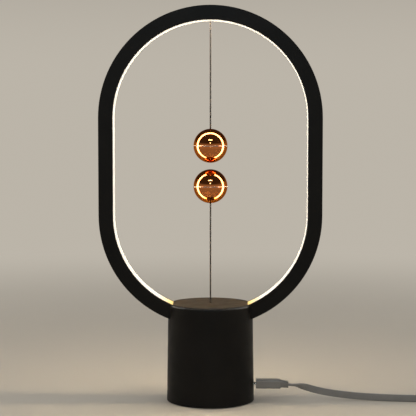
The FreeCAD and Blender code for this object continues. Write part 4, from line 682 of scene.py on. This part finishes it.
def make_tie():
    """Strap round the turns on the coil's far side, its end laid over itself."""
    width, thick, corner, flap, end_lift = (n * MM for n in (5.0, 0.5, 0.8, 0.42, 0.02))
    slack_across, slack_up, edge = 0.36 * MM, 0.12 * MM, 0.2 * MM
    middle = COIL + Vector(((COIL_INNER + COIL_OUTER) / 2, 0, 0))
    wide = COIL_OUTER - COIL_INNER + LEAD_THICK + 2 * slack_across
    high = LEAD_WIDTH + 2 * slack_up

    def across(inside, outside, half):
        """The strap's four corners at one place; inside and outside are (x, z) pairs."""
        spots = ((inside, -half), (outside, -half), (outside, half), (inside, half))
        return [middle + Vector((x, y, z)) for (x, z), y in spots]

    inner = flat_section(wide, high, corner, 4)
    outer = flat_section(wide + 2 * thick, high + 2 * thick, corner + thick, 4)
    points = []
    for inside, outside in zip(inner, outer):
        points += across(inside, outside, width / 2)
    # the free end lies over the top, inside the height of the far plug's overmould
    over = high / 2 + thick
    end = [(wide / 2 - 1.2 * MM, end_lift), (wide / 2 - 2.5 * MM, 0),
           (2.5 * MM - wide / 2, 0), (1.5 * MM - wide / 2, end_lift)]
    for x, lift in end:
        points += across((x, over + lift), (x, over + flap + lift), width / 2 - edge)
    faces = loft_faces(len(inner), 4, closed=True) + loft_faces(len(end), 4, 4 * len(inner))
    piece = add_piece("coil_strap", points, faces, [TIE], "plug")
    stand_for(piece, "coil_tie")
    return piece


far_relief = make_far_relief()
far_shell = make_far_shell()
far_insulator = make_far_insulator()
tie = make_tie()


# ---------------------------------------------------------------------------------------
# Strings: three twisted strands, one of them lighter
# ---------------------------------------------------------------------------------------
STRING_RADIUS = 0.9 * MM
STRAND_RADIUS = 0.464 * STRING_RADIUS
STRAND_OFFSET = STRING_RADIUS - STRAND_RADIUS
STRANDS = 3
STRAND_SIDES = 10
TWIST_PITCH = 6.0 * MM
KNOT_RADIUS = 1.6 * MM
KNOT_ROWS = 12
KNOT_STEPS = 20
BEAD_RADIUS = 1.0 * MM
# the strings' ends run this far into the bead at a bend, which hides them
INTO_BEAD = 0.4 * MM
# heights at which the strings bend
UPPER_PIVOT = 0.38375
LOWER_PIVOT = 0.10485


def strand_points(line, phase):
    """Rings of points along a strand that winds round the line; phase is a share of a turn."""
    rise = TWIST_PITCH / (2 * pi)
    points = []
    for point in line:
        turn = 2 * pi * (point.z / TWIST_PITCH + phase)
        out = Vector((cos(turn), sin(turn), 0))
        ahead = Vector((-STRAND_OFFSET * sin(turn), STRAND_OFFSET * cos(turn), rise)).normalized()
        side = ahead.cross(out)
        for j in range(STRAND_SIDES):
            angle = 2 * pi * j / STRAND_SIDES
            round_it = out * cos(angle) + side * sin(angle)
            points.append(point + STRAND_OFFSET * out + STRAND_RADIUS * round_it)
    return points


def make_string(name, node, body, low, high, knot):
    """A taut twisted string up the middle, with a knot at the end whose height is knot."""
    runs = 4
    route = [(0, 0, low + (high - low) * i / runs) for i in range(runs + 1)]
    # about twelve points to each turn of the twist
    fineness = max(8, ceil((high - low) / TWIST_PITCH * 4))
    line = smooth_line(name + "_route", route, fineness)
    points, faces, which = [], [], []
    for strand in range(STRANDS):
        found = loft_faces(len(line), STRAND_SIDES, len(points))
        points += strand_points(line, strand / STRANDS)
        faces += found
        which += [1 if strand == 0 else 0] * len(found)
    more, found = spin(arc(KNOT_RADIUS, -pi / 2, pi / 2, KNOT_ROWS), knot, KNOT_STEPS, closed=False)
    faces += [tuple(len(points) + k for k in face) for face in found]
    points += more
    which += [0] * len(found)
    piece = add_piece(name, points, faces, [DARK_YARN, LIGHT_YARN], body, which, sharp=80)
    stand_for(piece, node)
    return piece, line


def make_bead(name, node, body, middle):
    """The bend in a string, drawn as a short twisted knot."""
    rows, steps, groove = 13, 24, 0.09
    points = []
    for i in range(1, rows):
        lift = pi * i / rows
        height = -BEAD_RADIUS * cos(lift)
        for j in range(steps):
            turn = 2 * pi * j / steps
            ridge = 0.5 + 0.5 * cos(STRANDS * (turn - 2 * pi * (middle + height) / TWIST_PITCH))
            radius = BEAD_RADIUS * sin(lift) * (1 - groove + groove * ridge)
            points.append(Vector((radius * cos(turn), radius * sin(turn), middle + height)))
    piece = add_piece(name, points, loft_faces(rows - 1, steps), [DARK_YARN], body, sharp=60)
    stand_for(piece, node)


# from a bend to the ends of the strings that meet there
reach = BEAD_RADIUS - INTO_BEAD
upper_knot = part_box("upper_cord")[0].z + KNOT_RADIUS
lower_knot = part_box("lower_cord")[1].z - KNOT_RADIUS
anchor_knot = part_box("anchor_cord")[1].z - KNOT_RADIUS
pull_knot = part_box("pull_cord")[0].z + KNOT_RADIUS
upper_string, upper_line = make_string("upper_string", "upper_cord", "upper_ball",
                                       upper_knot, UPPER_PIVOT - reach, upper_knot)
lower_string, lower_line = make_string("lower_string", "lower_cord", "lower_ball",
                                       LOWER_PIVOT + reach, lower_knot, lower_knot)
make_string("anchor_string", "anchor_cord", "lamp", UPPER_PIVOT + reach, anchor_knot, anchor_knot)
make_string("pull_string", "pull_cord", "pull", pull_knot, LOWER_PIVOT - reach, pull_knot)
make_bead("upper_bend", "upper_cord_bead", "upper_bead", UPPER_PIVOT)
make_bead("lower_bend", "lower_cord_bead", "lower_bead", LOWER_PIVOT)


# ---------------------------------------------------------------------------------------
# Balls: two copper half shells each, with a fine seam round the middle
# ---------------------------------------------------------------------------------------
UPPER_BALL = 0.2597
LOWER_BALL = 0.2188
BALL_RADIUS = 17.2 * MM
BALL_WALL = 2.0 * MM
SEAM_HALF = 0.1 * MM
LIP = 0.5 * MM
CORD_HOLE = 1.15 * MM
HOLE_EDGE = 0.25 * MM
SEAT_INNER = 8.1 * MM
SEAT_OUTER = 9.3 * MM
SEAT_MARGIN = 0.3 * MM
MAGNET_BACK = 6.76 * MM
OUTSIDE_STEPS = 40
INSIDE_STEPS = 24
LIP_STEPS = 4


def half_shell(name, node, body, middle, up, holds_magnet):
    """Half of a ball: rounded at its lip, with a cord hole or a magnet seat at its pole."""
    inner = BALL_RADIUS - BALL_WALL
    # the lip is a quarter round from the seam's face to the outside
    lip_height = SEAM_HALF + LIP
    lip_radius = sqrt((BALL_RADIUS - LIP) ** 2 - lip_height ** 2)
    lip = arc(LIP, -pi / 2, atan2(lip_height, lip_radius), LIP_STEPS)
    profile = [(lip_radius + x, lip_height + z) for x, z in lip]
    begin = asin(profile[-1][1] / BALL_RADIUS)
    bottom = asin(SEAM_HALF / inner)
    if holds_magnet:
        inside = arc(inner, pi / 2, bottom, INSIDE_STEPS)
        profile += arc(BALL_RADIUS, begin, pi / 2, OUTSIDE_STEPS)[1:]
        profile += [spot for spot in inside if spot[0] < SEAT_INNER - SEAT_MARGIN]
        profile += [(SEAT_INNER, sqrt(inner ** 2 - SEAT_INNER ** 2)), (SEAT_INNER, MAGNET_BACK),
                    (SEAT_OUTER, MAGNET_BACK), (SEAT_OUTER, sqrt(inner ** 2 - SEAT_OUTER ** 2))]
        profile += [spot for spot in inside if spot[0] > SEAT_OUTER + SEAT_MARGIN]
    else:
        end = pi / 2 - asin((CORD_HOLE + HOLE_EDGE) / BALL_RADIUS)
        profile += arc(BALL_RADIUS, begin, end, OUTSIDE_STEPS)[1:]
        # the hole's rounded edge
        profile += [(CORD_HOLE + 0.07 * MM, BALL_RADIUS - 0.12 * MM), (CORD_HOLE, BALL_RADIUS - 0.3 * MM)]
        profile += arc(inner, pi / 2 - asin(CORD_HOLE / inner), bottom, INSIDE_STEPS)
    if not up:
        profile = [(radius, -height) for radius, height in reversed(profile)]
    points, faces = spin(profile, middle, ROUND_STEPS)
    stand_for(add_piece(name, points, faces, [COPPER], body, sharp=50), node)


def seam_highlight_band(name, body, middle):
    """Bright ring that fills the groove between the two rounded lips: a painted highlight of the light
    that the seam's edges catch.
    """
    outer, inner = BALL_RADIUS - 0.1 * MM, BALL_RADIUS - 0.9 * MM
    half, web = 0.3 * MM, 0.6 * SEAM_HALF
    below = [(inner, -web), (outer - 0.32 * MM, -web), (outer - 0.1 * MM, -0.65 * half),
             (outer, -0.35 * half)]
    above = [(radius, -height) for radius, height in reversed(below)]
    points, faces = spin(below + above, middle, ROUND_STEPS)
    add_piece(name, points, faces, [SEAM_HIGHLIGHT], body)


half_shell("upper_ball_top", "upper_ball_top_shell", "upper_ball", UPPER_BALL, True, False)
half_shell("upper_ball_bottom", "upper_ball_bottom_shell", "upper_ball", UPPER_BALL, False, True)
half_shell("lower_ball_top", "lower_ball_top_shell", "lower_ball", LOWER_BALL, True, True)
half_shell("lower_ball_bottom", "lower_ball_bottom_shell", "lower_ball", LOWER_BALL, False, False)
seam_highlight_band("upper_seam", "upper_ball", UPPER_BALL)
seam_highlight_band("lower_seam", "lower_ball", LOWER_BALL)


# ---------------------------------------------------------------------------------------
# Floor, world and lights
# ---------------------------------------------------------------------------------------
PALE = (0.50, 0.46, 0.395)
OVERHEAD = (0.06, 0.050, 0.041)
# degrees above the horizon where the world starts to darken, and where it is as dim as overhead
DARKENS_FROM = 2
DIM_FROM = 20
WHITE_LIGHT = (1.0, 1.0, 1.0)
COOL_LIGHT = (0.62, 0.86, 1.0)
# radii of the floor's rings, and where it fades into the world's colour
FLOOR_RINGS = (0.0, 0.4, 1.0, 2.0, 4.0, 8.0, 20.0)
FADE_START = 0.45
FADE_END = 1.5


def make_floor():
    """A large pale disc whose far part fades into the world's own colour."""
    points, faces = spin([(radius, 0.0) for radius in FLOOR_RINGS], 0.0, ROUND_STEPS, closed=False)
    mesh = bpy.data.meshes.new("floor")
    mesh.from_pydata([tuple(point) for point in points], [], [face[::-1] for face in faces])
    floor = bpy.data.objects.new("floor", mesh)
    scene.collection.objects.link(floor)
    material, tree, shader = new_material("floor_pale")
    mesh.materials.append(material)
    tint = mix_colour(tree, noise(tree, 0.25), shade(PALE, 0.97), shade(PALE, 1.03))
    feed(tree, shader, Base_Color=tint, Roughness=0.6, Specular_IOR_Level=0.2)
    far = add_node(tree, "Emission", Color=(*PALE, 1))
    away = add_node(tree, "VectorMath", operation="LENGTH", Vector=place_of(tree)).outputs["Value"]
    share = remap(tree, away, FADE_START, FADE_END, 0, 1, smooth=True)
    blend_into(tree, tree.nodes["Material Output"], share, shader, far)


def make_world():
    """Soft even light, seen as pale round the horizon and dim overhead."""
    world = bpy.data.worlds.new("studio")
    world.use_nodes = True
    scene.world = world
    tree = world.node_tree
    tree.nodes.clear()
    path = add_node(tree, "LightPath")
    seen = maths(tree, "MAXIMUM", path.outputs["Is Camera Ray"], path.outputs["Is Glossy Ray"])
    seen = maths(tree, "MAXIMUM", seen, path.outputs["Is Transmission Ray"])
    light = add_node(tree, "Background", Color=(1.0, 0.985, 0.96, 1), Strength=0.60)
    towards = add_node(tree, "TexCoord").outputs["Generated"]
    climb = add_node(tree, "SeparateXYZ", Vector=towards).outputs["Z"]
    climb = remap(tree, climb, sin(radians(DARKENS_FROM)), sin(radians(DIM_FROM)), 0, 1, smooth=True)
    shown = add_node(tree, "Background", Strength=1.0, Color=mix_colour(tree, climb, PALE, OVERHEAD))
    blend_into(tree, add_node(tree, "OutputWorld"), seen, light, shown)


def add_light(name, place, aim, size, power, colour=WHITE_LIGHT, highlight=False):
    """A rectangular lamp; a highlight lamp shows in shiny surfaces and lights nothing else."""
    lamp = bpy.data.lights.new(name, "AREA")
    lamp.shape = "RECTANGLE"
    lamp.size, lamp.size_y = size
    lamp.energy = power
    lamp.color = colour
    light = bpy.data.objects.new(name, lamp)
    light.location = place
    light.rotation_euler = (Vector(aim) - Vector(place)).to_track_quat("-Z", "Y").to_euler()
    light.visible_camera = False
    light.visible_glossy = highlight
    light.visible_diffuse = not highlight
    scene.collection.objects.link(light)


make_floor()
make_world()
add_light("key", (-1.0, -1.3, 1.5), (0, 0, 0.15), (1.3, 1.3), 6, (1.0, 0.98, 0.95))
add_light("fill", (1.5, -0.9, 0.9), (0, 0, 0.2), (1.2, 1.2), 2.5, (0.96, 0.98, 1.0))
add_light("top", (0.2, 0.6, 1.9), (0, 0, 0.2), (1.4, 1.4), 3)
# a bright bar and a small spot that the balls show
add_light("bar", (0.0, -0.75, 0.9), (0, 0, 0.24), (0.4, 0.07), 2.0, COOL_LIGHT, highlight=True)
add_light("spot", (0.0, -0.95, 0.60), (0, 0, 0.24), (0.1, 0.1), 0.5, COOL_LIGHT, highlight=True)

scene.view_settings.view_transform = "Standard"
